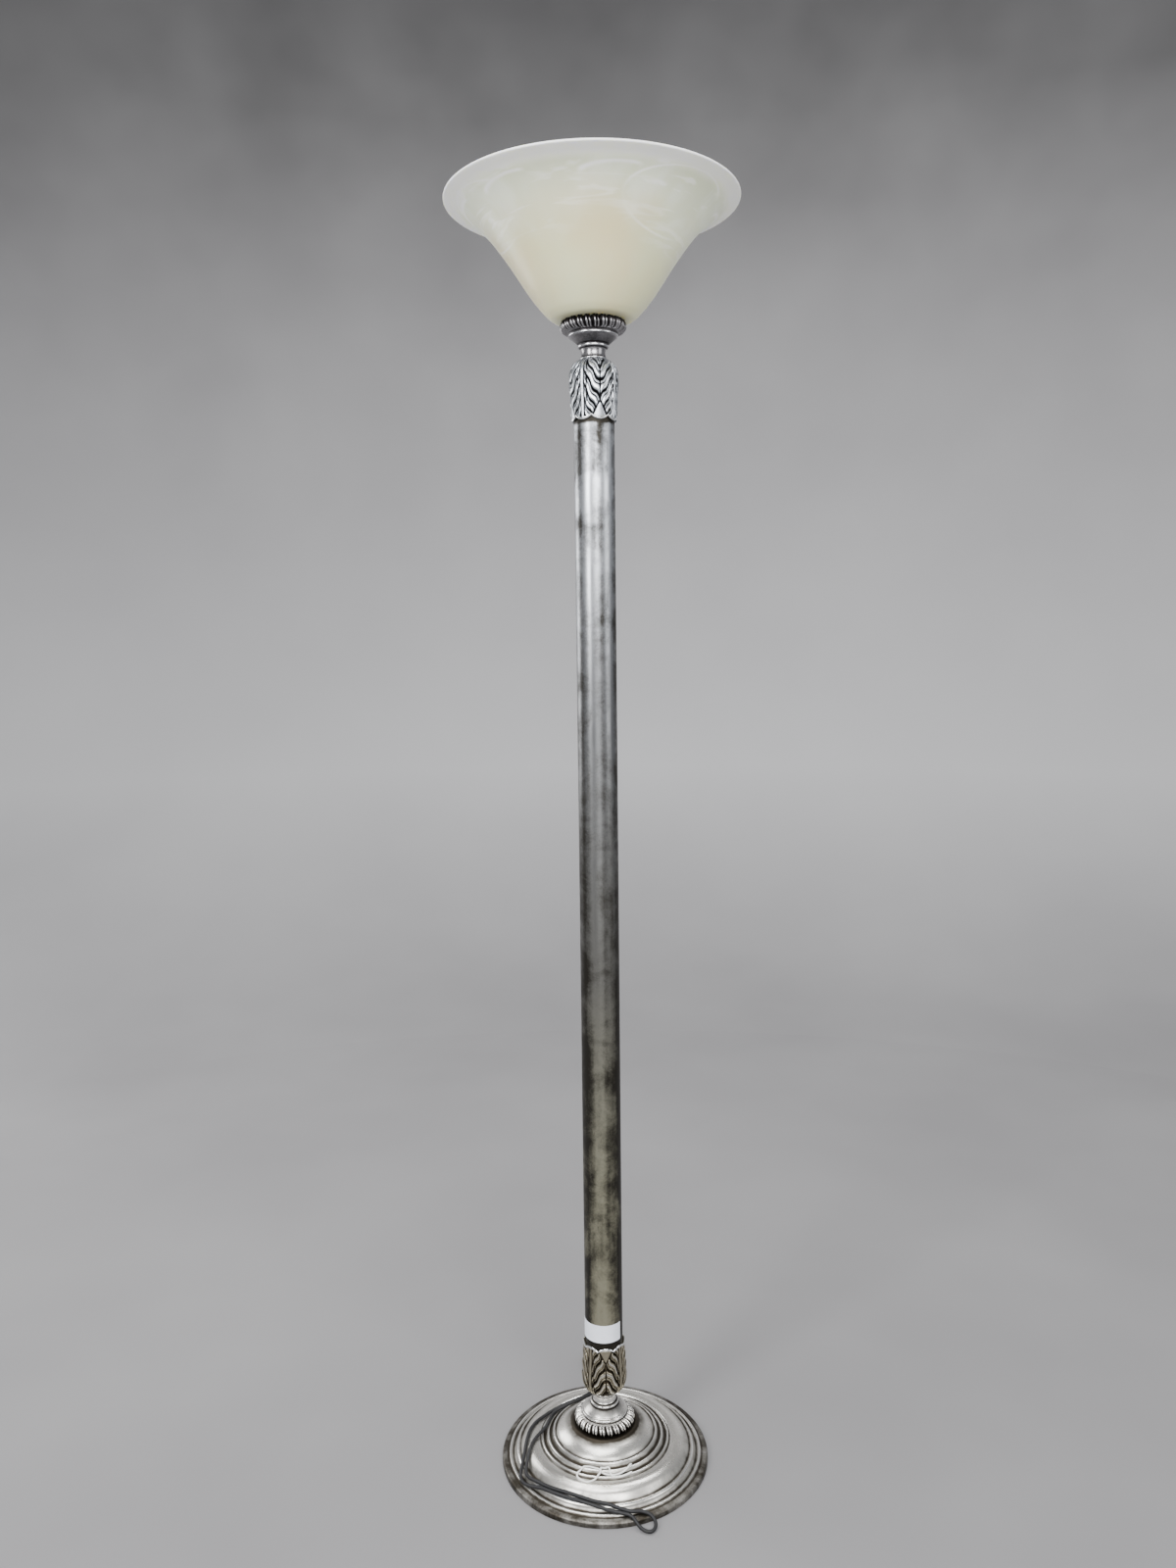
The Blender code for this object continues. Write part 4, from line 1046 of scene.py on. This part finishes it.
def add_shade(material):
    """The flared bowl, with a rounded rim and a neck that sits in the upper spool."""
    outside = glass_outside()
    along = np.gradient(outside, axis=0)
    along /= np.linalg.norm(along, axis=1, keepdims=True)
    inside = outside + GLASS_THICKNESS * np.stack([-along[:, 1], along[:, 0]], axis=1)
    inside = inside[(inside[:, 1] > 1.6776) & (inside[:, 0] > 0.041)]
    rim = filleted([
        (inside[-1][0], inside[-1][1], 0),
        (0.1965, 1.8305, 0.002),
        (0.2004, 1.8298, 0.002),
        (0.2007, 1.8270, 0.002),
        (outside[-1][0], outside[-1][1], 0),
    ])[1:-1]
    neck = [
        (GLASS_NECK_RADIUS, GLASS_SEAT),
        (GLASS_NECK_RADIUS, GLASS_BOTTOM),
        (GLASS_HOLE_RADIUS, GLASS_BOTTOM),
        (GLASS_HOLE_RADIUS, GLASS_FLOOR),
        (0.0400, GLASS_FLOOR),
    ]
    line = np.vstack([rim, outside[::-1], neck, inside])
    made = turned("glass_shade_detailed", line, 160)
    fit_out(made, LAMP, ["glass_shade"], material)


def add_label(material):
    """The blank paper label, wrapped round the pole from its left past its front."""
    low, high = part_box("price_label")
    inner = POLE_RADIUS + LABEL_GAP
    outer = inner + LABEL_THICKNESS
    edges = ((outer, high[2]), (outer, low[2]), (inner, low[2]), (inner, high[2]))
    sections = []
    for angle in np.radians(np.linspace(LABEL_START_DEGREES, LABEL_END_DEGREES, 48)):
        sections.append([(radius * math.cos(angle), radius * math.sin(angle), z) for radius, z in edges])
    made = lofted("price_label_blank", sections)
    fit_out(made, LAMP, ["price_label"], material)


# ---------------------------------------------------------------- bulb, holder and switch
def rounded_rod(radius, low, high, fillet, parts=4):
    """The outline of a rod with rounded ends, from the top of its axis to the bottom."""
    corners = [(0.0003, high, 0), (radius, high, fillet), (radius, low, fillet), (0.0003, low, 0)]
    return filleted(corners, parts)


def add_bulb(glass, metal, brass):
    """The small frosted globe with its screw cap and contact."""
    low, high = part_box("bulb_glass")
    radius = (high[0] - low[0]) / 2
    middle = high[2] - radius
    neck = 0.0118
    cap_low, cap_high = (corner[2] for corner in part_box("bulb_cap"))
    angles = np.radians(np.linspace(89, -44, 30))
    globe = np.stack([radius * np.cos(angles), middle + radius * np.sin(angles)], axis=1)
    below = [(0.0133, middle - 0.0235), (neck, cap_high + 0.0006), (neck, low[2])]
    foot = smooth_through([globe[-1], *below], 5)
    line = np.vstack([globe, foot[1:]])
    fit_out(turned("bulb_globe", line, 64, closed=False), LAMP, ["bulb_glass"], glass)
    pitch = 0.0035
    heights = np.arange(cap_high, cap_low + 0.0036, -pitch / 8)
    wave = 0.0004 * np.cos(2 * math.pi * (heights - cap_high) / pitch)
    thread = np.stack([0.0126 + wave, heights], axis=1)
    line = np.vstack([[(0.0122, cap_high)], thread, [(0.0062, cap_low), (0.0003, cap_low)]])
    fit_out(turned("bulb_screw_cap", line, 48, closed=False), LAMP, ["bulb_cap"], metal)
    low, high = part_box("bulb_contact")
    tip = turned("bulb_tip", rounded_rod(high[0], low[2], high[2], 0.0003), 24, closed=False)
    fit_out(tip, LAMP, ["bulb_contact"], brass)


def add_socket_cap(brass):
    """The turned cap below the holder's shell, with a rolled bead at its mouth."""
    low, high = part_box("socket_cap")
    wall = high[0]
    outside = [
        (wall, high[2], 0.0003),
        (wall, high[2] - 0.0014, 0.0004),
        (wall - 0.0007, high[2] - 0.0019, 0.0003),
        (wall - 0.0006, high[2] - 0.0062, 0.0020),
        (0.0121, low[2] + 0.0010, 0.0010),
        (0.0110, low[2], 0.0005),
    ]
    inside = [(ROD_HOLE, low[2]), (ROD_HOLE, low[2] + 0.0012), (0.0108, low[2] + 0.0012)]
    inside += [(wall - 0.0016, high[2] - 0.0066), (wall - 0.0016, high[2])]
    outside = [(wall - 0.0004, high[2], 0), *outside, (0.0080, low[2], 0)]
    line = np.vstack([filleted(outside, 3), inside])
    fit_out(turned("socket_cap_turned", line, 64), LAMP, ["socket_cap"], brass)


def finger_grooves(angle, radius, height):
    """Shallow grooves along the side of the knob."""
    on_side = np.clip((radius - KNOB_RADIUS + 0.0012) / 0.0006, 0, 1)
    ends = np.minimum(height - KNOB_START, KNOB_START + KNOB_LENGTH - height)
    depth = KNOB_GROOVE_DEPTH * np.clip((ends - 0.0010) / 0.0010, 0, 1)
    groove = 0.5 - 0.5 * np.cos(angle * KNOB_GROOVES)
    return -depth * groove * on_side, np.full_like(radius, 0.6)


def add_knob(plastic):
    """The switch's turn-knob, on its spindle's axis."""
    outline = rounded_rod(KNOB_RADIUS, KNOB_START, KNOB_START + KNOB_LENGTH, 0.0012)
    knob = turned("switch_knob_grooved", refined(outline, 0.0008), 120, finger_grooves, closed=False)
    aimed(knob, "Y", 90, (0.0, 0.0, SWITCH_HEIGHT))
    fit_out(knob, SWITCH, ["switch_knob"], plastic)


def add_plate(steel):
    """The dished plate that presses the glass down, with a rolled rim."""
    low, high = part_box("shade_plate")
    rim = high[0]
    outline = [
        (ROD_HOLE, high[2], 0),
        (0.0150, high[2], 0.0010),
        (0.0165, high[2] - 0.0005, 0.0010),
        (rim - 0.0040, high[2] - 0.0005, 0.0010),
        (rim - 0.0026, high[2], 0.0006),
        (rim - 0.0006, high[2], 0.0006),
        (rim, high[2] - 0.0007, 0.0004),
        (rim, low[2], 0.0002),
        (ROD_HOLE, low[2], 0),
    ]
    fit_out(turned("shade_plate_dished", filleted(outline), 72), LAMP, ["shade_plate"], steel)


# ---------------------------------------------------------------- fittings on the cord
def ribbed_taper(length, thick, thin, bore, ribs):
    """The outline of a soft tapered sleeve with grooves round it, its thick end at height 0."""
    points = [(bore, length), (thin - 0.0003, length), (thin, length - 0.0003)]
    heights = np.linspace(length - 0.0012, 0.0030, ribs * 8)
    taper = thick + (thin - thick) * heights / length
    grooves = 0.0005 * (np.cos(np.linspace(0, 2 * math.pi * ribs, len(heights))) < -0.2)
    points += list(zip(taper - grooves, heights))
    points += [(thick, 0.0022), (thick, 0.0), (bore, 0.0)]
    return points


def add_strain_relief(rubber):
    """The ribbed sleeve where the cord leaves the base, with its collar in the notch."""
    low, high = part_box("cord_strain_relief")
    thick = (high[0] - low[0]) / 2
    bore = CORD_RADIUS + 0.0001
    collar = [(thick, -0.0030), (bore, -0.0030)]
    line = ribbed_taper(BOOT_LENGTH, thick, thick - 0.0004, bore, 6)[:-2] + collar
    made = turned("strain_relief_ribbed", line, 40, sharp_degrees=50.0)
    aimed(made, "X", -90, (EXIT_X, high[1] - BOOT_LENGTH, EXIT_HEIGHT))
    fit_out(made, LAMP, ["cord_strain_relief"], rubber)


def add_strap(rubber):
    """The flat strap round the middle of the hank, with its end lapped over itself."""
    low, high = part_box("hank_tie")
    middle_y = (low[1] + high[1]) / 2
    inner_half = HANK_WAIST + CORD_RADIUS + 0.0001
    bottom = HANK_CLEARANCE + STRAP_THICKNESS
    top = bottom + 2 * CORD_RADIUS + (HANK_LAYERS - 1) * LAYER_HEIGHT + 0.0002
    middle_z = (bottom + top) / 2
    tall = (top - bottom) / 2
    inner = []
    outer = []
    for angle in np.linspace(0, 2 * math.pi, 72, endpoint=False):
        c, n = math.cos(angle), math.sin(angle)
        x = squared_off(c, 0.45)
        z = squared_off(n, 0.30)
        lapped = 0.5 < angle < 2.0
        thick = STRAP_THICKNESS * (1.8 if lapped else 1.0)
        inner.append((HANK_X + inner_half * x, middle_z + tall * z))
        outer.append((HANK_X + (inner_half + thick) * x, middle_z + (tall + thick) * z))
    near, far = middle_y - STRAP_WIDTH / 2, middle_y + STRAP_WIDTH / 2
    loops = [(inner, near), (outer, near), (outer, far), (inner, far)]
    vertices = [(x, y, z) for loop, y in loops for x, z in loop]
    made = add_mesh("hank_strap", vertices, bands(len(loops), len(inner), closed=True))
    fit_out(made, LAMP, ["hank_tie"], rubber)
    return made


def rounded_loop(half_x, half_z, power, y):
    """A loop between a rectangle and an ellipse, across the plug."""
    loop = []
    for angle in np.linspace(0, 2 * math.pi, 56, endpoint=False):
        c, n = math.cos(angle), math.sin(angle)
        x = squared_off(c, power) * half_x
        z = squared_off(n, power) * half_z
        loop.append((PLUG_X + x, y, PLUG_HEIGHT + z))
    return loop[::-1]


def add_plug(rubber, brass):
    """The two-blade plug: a moulded body with grip ridges, its ribbed boot and its blades."""
    sections = []
    for share in np.linspace(0, 1, 53):
        neck = 0.66 + 0.34 * math.sin(min(1.0, share / 0.45) * math.pi / 2)
        edge = 1 - 0.08 * max(0.0, (share - 0.96) / 0.04) ** 2
        on_ridge = math.cos(share * 2 * math.pi * PLUG_GRIP_RIDGES) < 0
        grip = PLUG_GRIP_DEPTH * on_ridge * (0.30 < share < 0.78)
        half_x = PLUG_WIDTH / 2 * neck * edge - grip
        half_z = PLUG_THICKNESS / 2 * (0.80 + 0.20 * min(1.0, share / 0.3)) * edge
        sections.append(rounded_loop(half_x, half_z, 0.55, PLUG_Y + PLUG_LENGTH * share))
    body = lofted("plug_moulded", sections)
    boot = turned("plug_boot_ribbed", ribbed_taper(0.0197, 0.0060, 0.0034, CORD_RADIUS - 0.0002, 5), 40,
                  sharp_degrees=50.0)
    boot.data.transform(Matrix.Rotation(math.pi, 4, "X"))
    aimed(boot, "X", -90, (PLUG_X, PLUG_Y - 0.0002, PLUG_HEIGHT))
    fit_out(body, LAMP, ["plug_body"], rubber)
    fit_out(boot, LAMP, ["plug_boot"], rubber)
    return [body, boot] + [add_blade(side, brass) for side in ("left", "right")]


def add_blade(side, brass):
    """A flat blade with a rounded tip and a round hole near it."""
    low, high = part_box("plug_blade_" + side)
    half = (high[2] - low[2]) / 2
    hole_y = high[1] - 0.0040
    rim = []
    ring = []
    for angle in np.linspace(0, 2 * math.pi, 48, endpoint=False):
        c, n = math.cos(angle), math.sin(angle)
        reach = (high[1] - hole_y) if c > 0 else (hole_y - low[1])
        rim.append((hole_y + squared_off(c, 0.35) * reach, PLUG_HEIGHT + squared_off(n, 0.35) * half))
        ring.append((hole_y + PIN_HOLE_RADIUS * c, PLUG_HEIGHT + PIN_HOLE_RADIUS * n))
    loops = [(rim, low[0]), (rim, high[0]), (ring, high[0]), (ring, low[0])]
    vertices = [(x, y, z) for loop, x in loops for y, z in loop]
    faces = [face[::-1] for face in bands(len(loops), len(rim), closed=True)]
    made = add_mesh("plug_pin_" + side, vertices, faces, 30.0)
    return fit_out(made, LAMP, ["plug_blade_" + side], brass)


# ---------------------------------------------------------------- studio
def add_surround(name, material, first_degrees, last_degrees, section, open_to_light):
    """A sector of the round backdrop, turned about Z from a (radius, height) line."""
    turns = np.radians(np.arange(first_degrees, last_degrees + 1, 5))
    points = []
    for turn in turns:
        points += [(r * math.cos(turn), STUDIO_CENTRE_Y + r * math.sin(turn), z) for r, z in section]
    rows = len(section)
    faces = []
    for column in range(len(turns) - 1):
        for row in range(rows - 1):
            near = column * rows + row
            faces.append((near, near + 1, near + rows + 1, near + rows))
    wall = paint(add_mesh(name, points, faces), material)
    if open_to_light:
        for ray in ("diffuse", "glossy", "transmission", "shadow"):
            setattr(wall, "visible_" + ray, False)


def studio_paper():
    """Matt grey paper, a little uneven, with painted light and shade: brightest a little above the floor and
    darker high up.
    """
    made = Shader("studio_grey")
    grain = made.noise(1.3, 3.0, 0.5)
    shade = made.ramp(made.height(), BACKDROP_PAINTED_LIGHT_TONES)
    uneven = made.math("MULTIPLY", grain, 0.25)
    made.set(Base_Color=made.mix(uneven, shade, (0.5, 0.5, 0.5)), Roughness=0.85)
    return made.material


def add_studio():
    """A pale round floor that curves up into a backdrop all round, under soft lights.

    Away from the back, the backdrop only shows: it neither shades the lamp nor mirrors in it.
    """
    paper = studio_paper()
    floor = [(STUDIO_FLOOR_RADIUS * step / STUDIO_STEPS, 0.0) for step in range(STUDIO_STEPS + 1)]
    curve = STUDIO_CURVE_RADIUS
    arc = [math.radians(value) for value in range(-90, 1, 5)]
    wall = [(STUDIO_FLOOR_RADIUS + curve * math.cos(a), curve + curve * math.sin(a)) for a in arc]
    edge = STUDIO_FLOOR_RADIUS + curve
    wall += [(edge, curve + STUDIO_WALL_STEP * (step + 1)) for step in range(STUDIO_STEPS)]
    add_surround("studio_floor", paper, 0, 360, floor, False)
    add_surround("studio_back", paper, 45, 135, wall, False)
    add_surround("studio_front", paper, 135, 405, wall, True)
    world = bpy.data.worlds.new("studio_world")
    world.use_nodes = True
    background = world.node_tree.nodes["Background"]
    background.inputs["Color"].default_value = (0.85, 0.88, 0.93, 1.0)
    background.inputs["Strength"].default_value = 0.30
    bpy.context.scene.world = world
    add_light("key", (-1.9, -2.2, 2.3), (0.0, 0.0, 1.0), (0.8, 2.2), 104)
    add_light("front", (0.5, -3.2, 2.6), (0.0, 0.0, 1.2), (2.2, 1.6), 150)
    add_light("low", (0.3, -3.0, 1.1), (0.0, 0.0, 1.3), (1.6, 1.6), 12)
    add_light("left_rear", (-2.3, 1.4, 1.5), (0.0, 0.0, 0.2), (1.2, 1.6), 36)
    add_light("fill", (2.8, -1.2, 1.8), (0.0, 0.0, 0.8), (1.2, 2.4), 34)
    add_light("top", (-0.4, -0.2, 4.2), (0.0, 0.0, 0.0), (2.2, 2.2), 130)
    add_light("backdrop", (0.4, 1.2, 3.4), (0.4, 3.6, 0.7), (2.5, 0.8), 95)


def add_light(name, place, target, size, power):
    """A soft rectangular light at a place, aimed at a target."""
    data = bpy.data.lights.new(name, "AREA")
    data.shape = "RECTANGLE"
    data.size, data.size_y = size
    data.energy = power
    light = bpy.data.objects.new(name, data)
    bpy.context.scene.collection.objects.link(light)
    light.location = place
    light.rotation_euler = (Vector(target) - Vector(place)).to_track_quat("-Z", "Y").to_euler()


# ---------------------------------------------------------------- build
add_camera()
add_studio()

rubber = plain_material("moulded_rubber", (0.022, 0.022, 0.024), 0.0, 0.52, 700.0, 0.0001)
sheath = plain_material("cord_sheath", (0.006, 0.006, 0.007), 0.0, 0.62, 900.0, 0.00005)
brass = plain_material("aged_brass", (0.62, 0.46, 0.20), 0.95, 0.34, 500.0, 0.0001)
steel = plain_material("zinc_steel", (0.50, 0.51, 0.52), 0.95, 0.38, 450.0, 0.0001)
iron = plain_material("cast_iron_black", (0.050, 0.048, 0.046), 0.55, 0.68, 260.0, 0.0006, 0.4)
moulding = plain_material("brown_moulding", (0.060, 0.042, 0.030), 0.0, 0.40, 600.0, 0.0001)
card = plain_material("liner_card", (0.46, 0.38, 0.27), 0.0, 0.88, 500.0, 0.0002)
knob_plastic = plain_material("knob_plastic", (0.020, 0.019, 0.018), 0.0, 0.30, 500.0, 0.0001)
nickel = plain_material("nickel_cap", (0.55, 0.55, 0.56), 0.95, 0.3)
paper = plain_material("label_paper", (0.80, 0.83, 0.90), 0.0, 0.7, 600.0, 0.0001, 0.05)

# The two leaf castings are alike: the upper one gets a brighter, bluer colour as a painted highlight, the
# lower one an olive-brown patina
capital_highlighted = antique_silver("upper_leaf_silver_highlighted", (0.58, 0.61, 0.65), (0.014, 0.014, 0.016))
capital_olive = antique_silver("lower_leaf_silver", (0.36, 0.325, 0.245), (0.020, 0.015, 0.008))
# The upper spool is the same casting as the lower one, given darker colours as painted shade under the bowl
spool_shaded_silver = antique_silver("upper_spool_shaded_silver", (0.30, 0.29, 0.30), (0.016, 0.014, 0.015),
                              polish_and_highlight=(0.74, 0.74, 0.76))
base_silver = antique_silver("base_silver", (0.76, 0.74, 0.69), (0.036, 0.030, 0.022), contrast=0.75,
                             grain=0.0002)
spool_silver = antique_silver("lower_spool_silver", (0.80, 0.78, 0.74), (0.016, 0.013, 0.010),
                              (0.20, 0.42), 0.7, grain=0.0001)
pole_silver = antique_silver("pole_silver", POLE_PATINA_AND_LIGHT_TONES, (0.030, 0.027, 0.022), (0.28, 0.48), 1.3,
                             grain=0.0003)

add_base(base_silver)
add_spool("lower_spool_detailed", "lower_spool", LOWER_SPOOL_NARROW, False, 0.62, 0.80, spool_silver)
# Lower funnel and ring values than the lower spool: painted shade under the bowl
add_spool("upper_spool_detailed", "upper_spool", UPPER_SPOOL_NARROW, True, 0.36, 0.72, spool_shaded_silver)
add_capital("lower_capital_detailed", "lower_capital", LOWER_CAPITAL_START, True, -86.0, 0.130,
            capital_olive)
add_capital("upper_capital_detailed", "upper_capital", UPPER_CAPITAL_START, False, -75.0, 0.105,
            capital_highlighted)
add_pole(pole_silver)
add_label(paper)
add_shade(alabaster("alabaster_glass"))
add_plate(steel)
add_socket_cap(brass)
add_bulb(frosted_bulb("frosted_bulb_glass"), nickel, brass)
add_knob(knob_plastic)

cord = add_power_cord(sheath)
strap = add_strap(rubber)
add_strain_relief(rubber)
plug_pieces = add_plug(rubber, brass)
add_string(twisted_cotton("white_cotton"))

KEPT_NODES = [
    (iron, ["base_weight"]),
    (rubber, ["base_pad", "shade_gasket", "inner_cord", "wire_live", "wire_neutral"]),
    (steel, ["base_washer", "base_nut", "threaded_rod", "plate_nut"]),
    (steel, ["lower_pole_bush", "upper_pole_bush"]),
    (brass, ["socket_shell", "screw_shell", "centre_contact", "switch_spindle"]),
    (brass, ["terminal_screw_live", "terminal_screw_neutral"]),
    (card, ["socket_liner"]),
    (moulding, ["socket_body"]),
]
for material, nodes in KEPT_NODES:
    for node in nodes:
        paint_node(node, material)
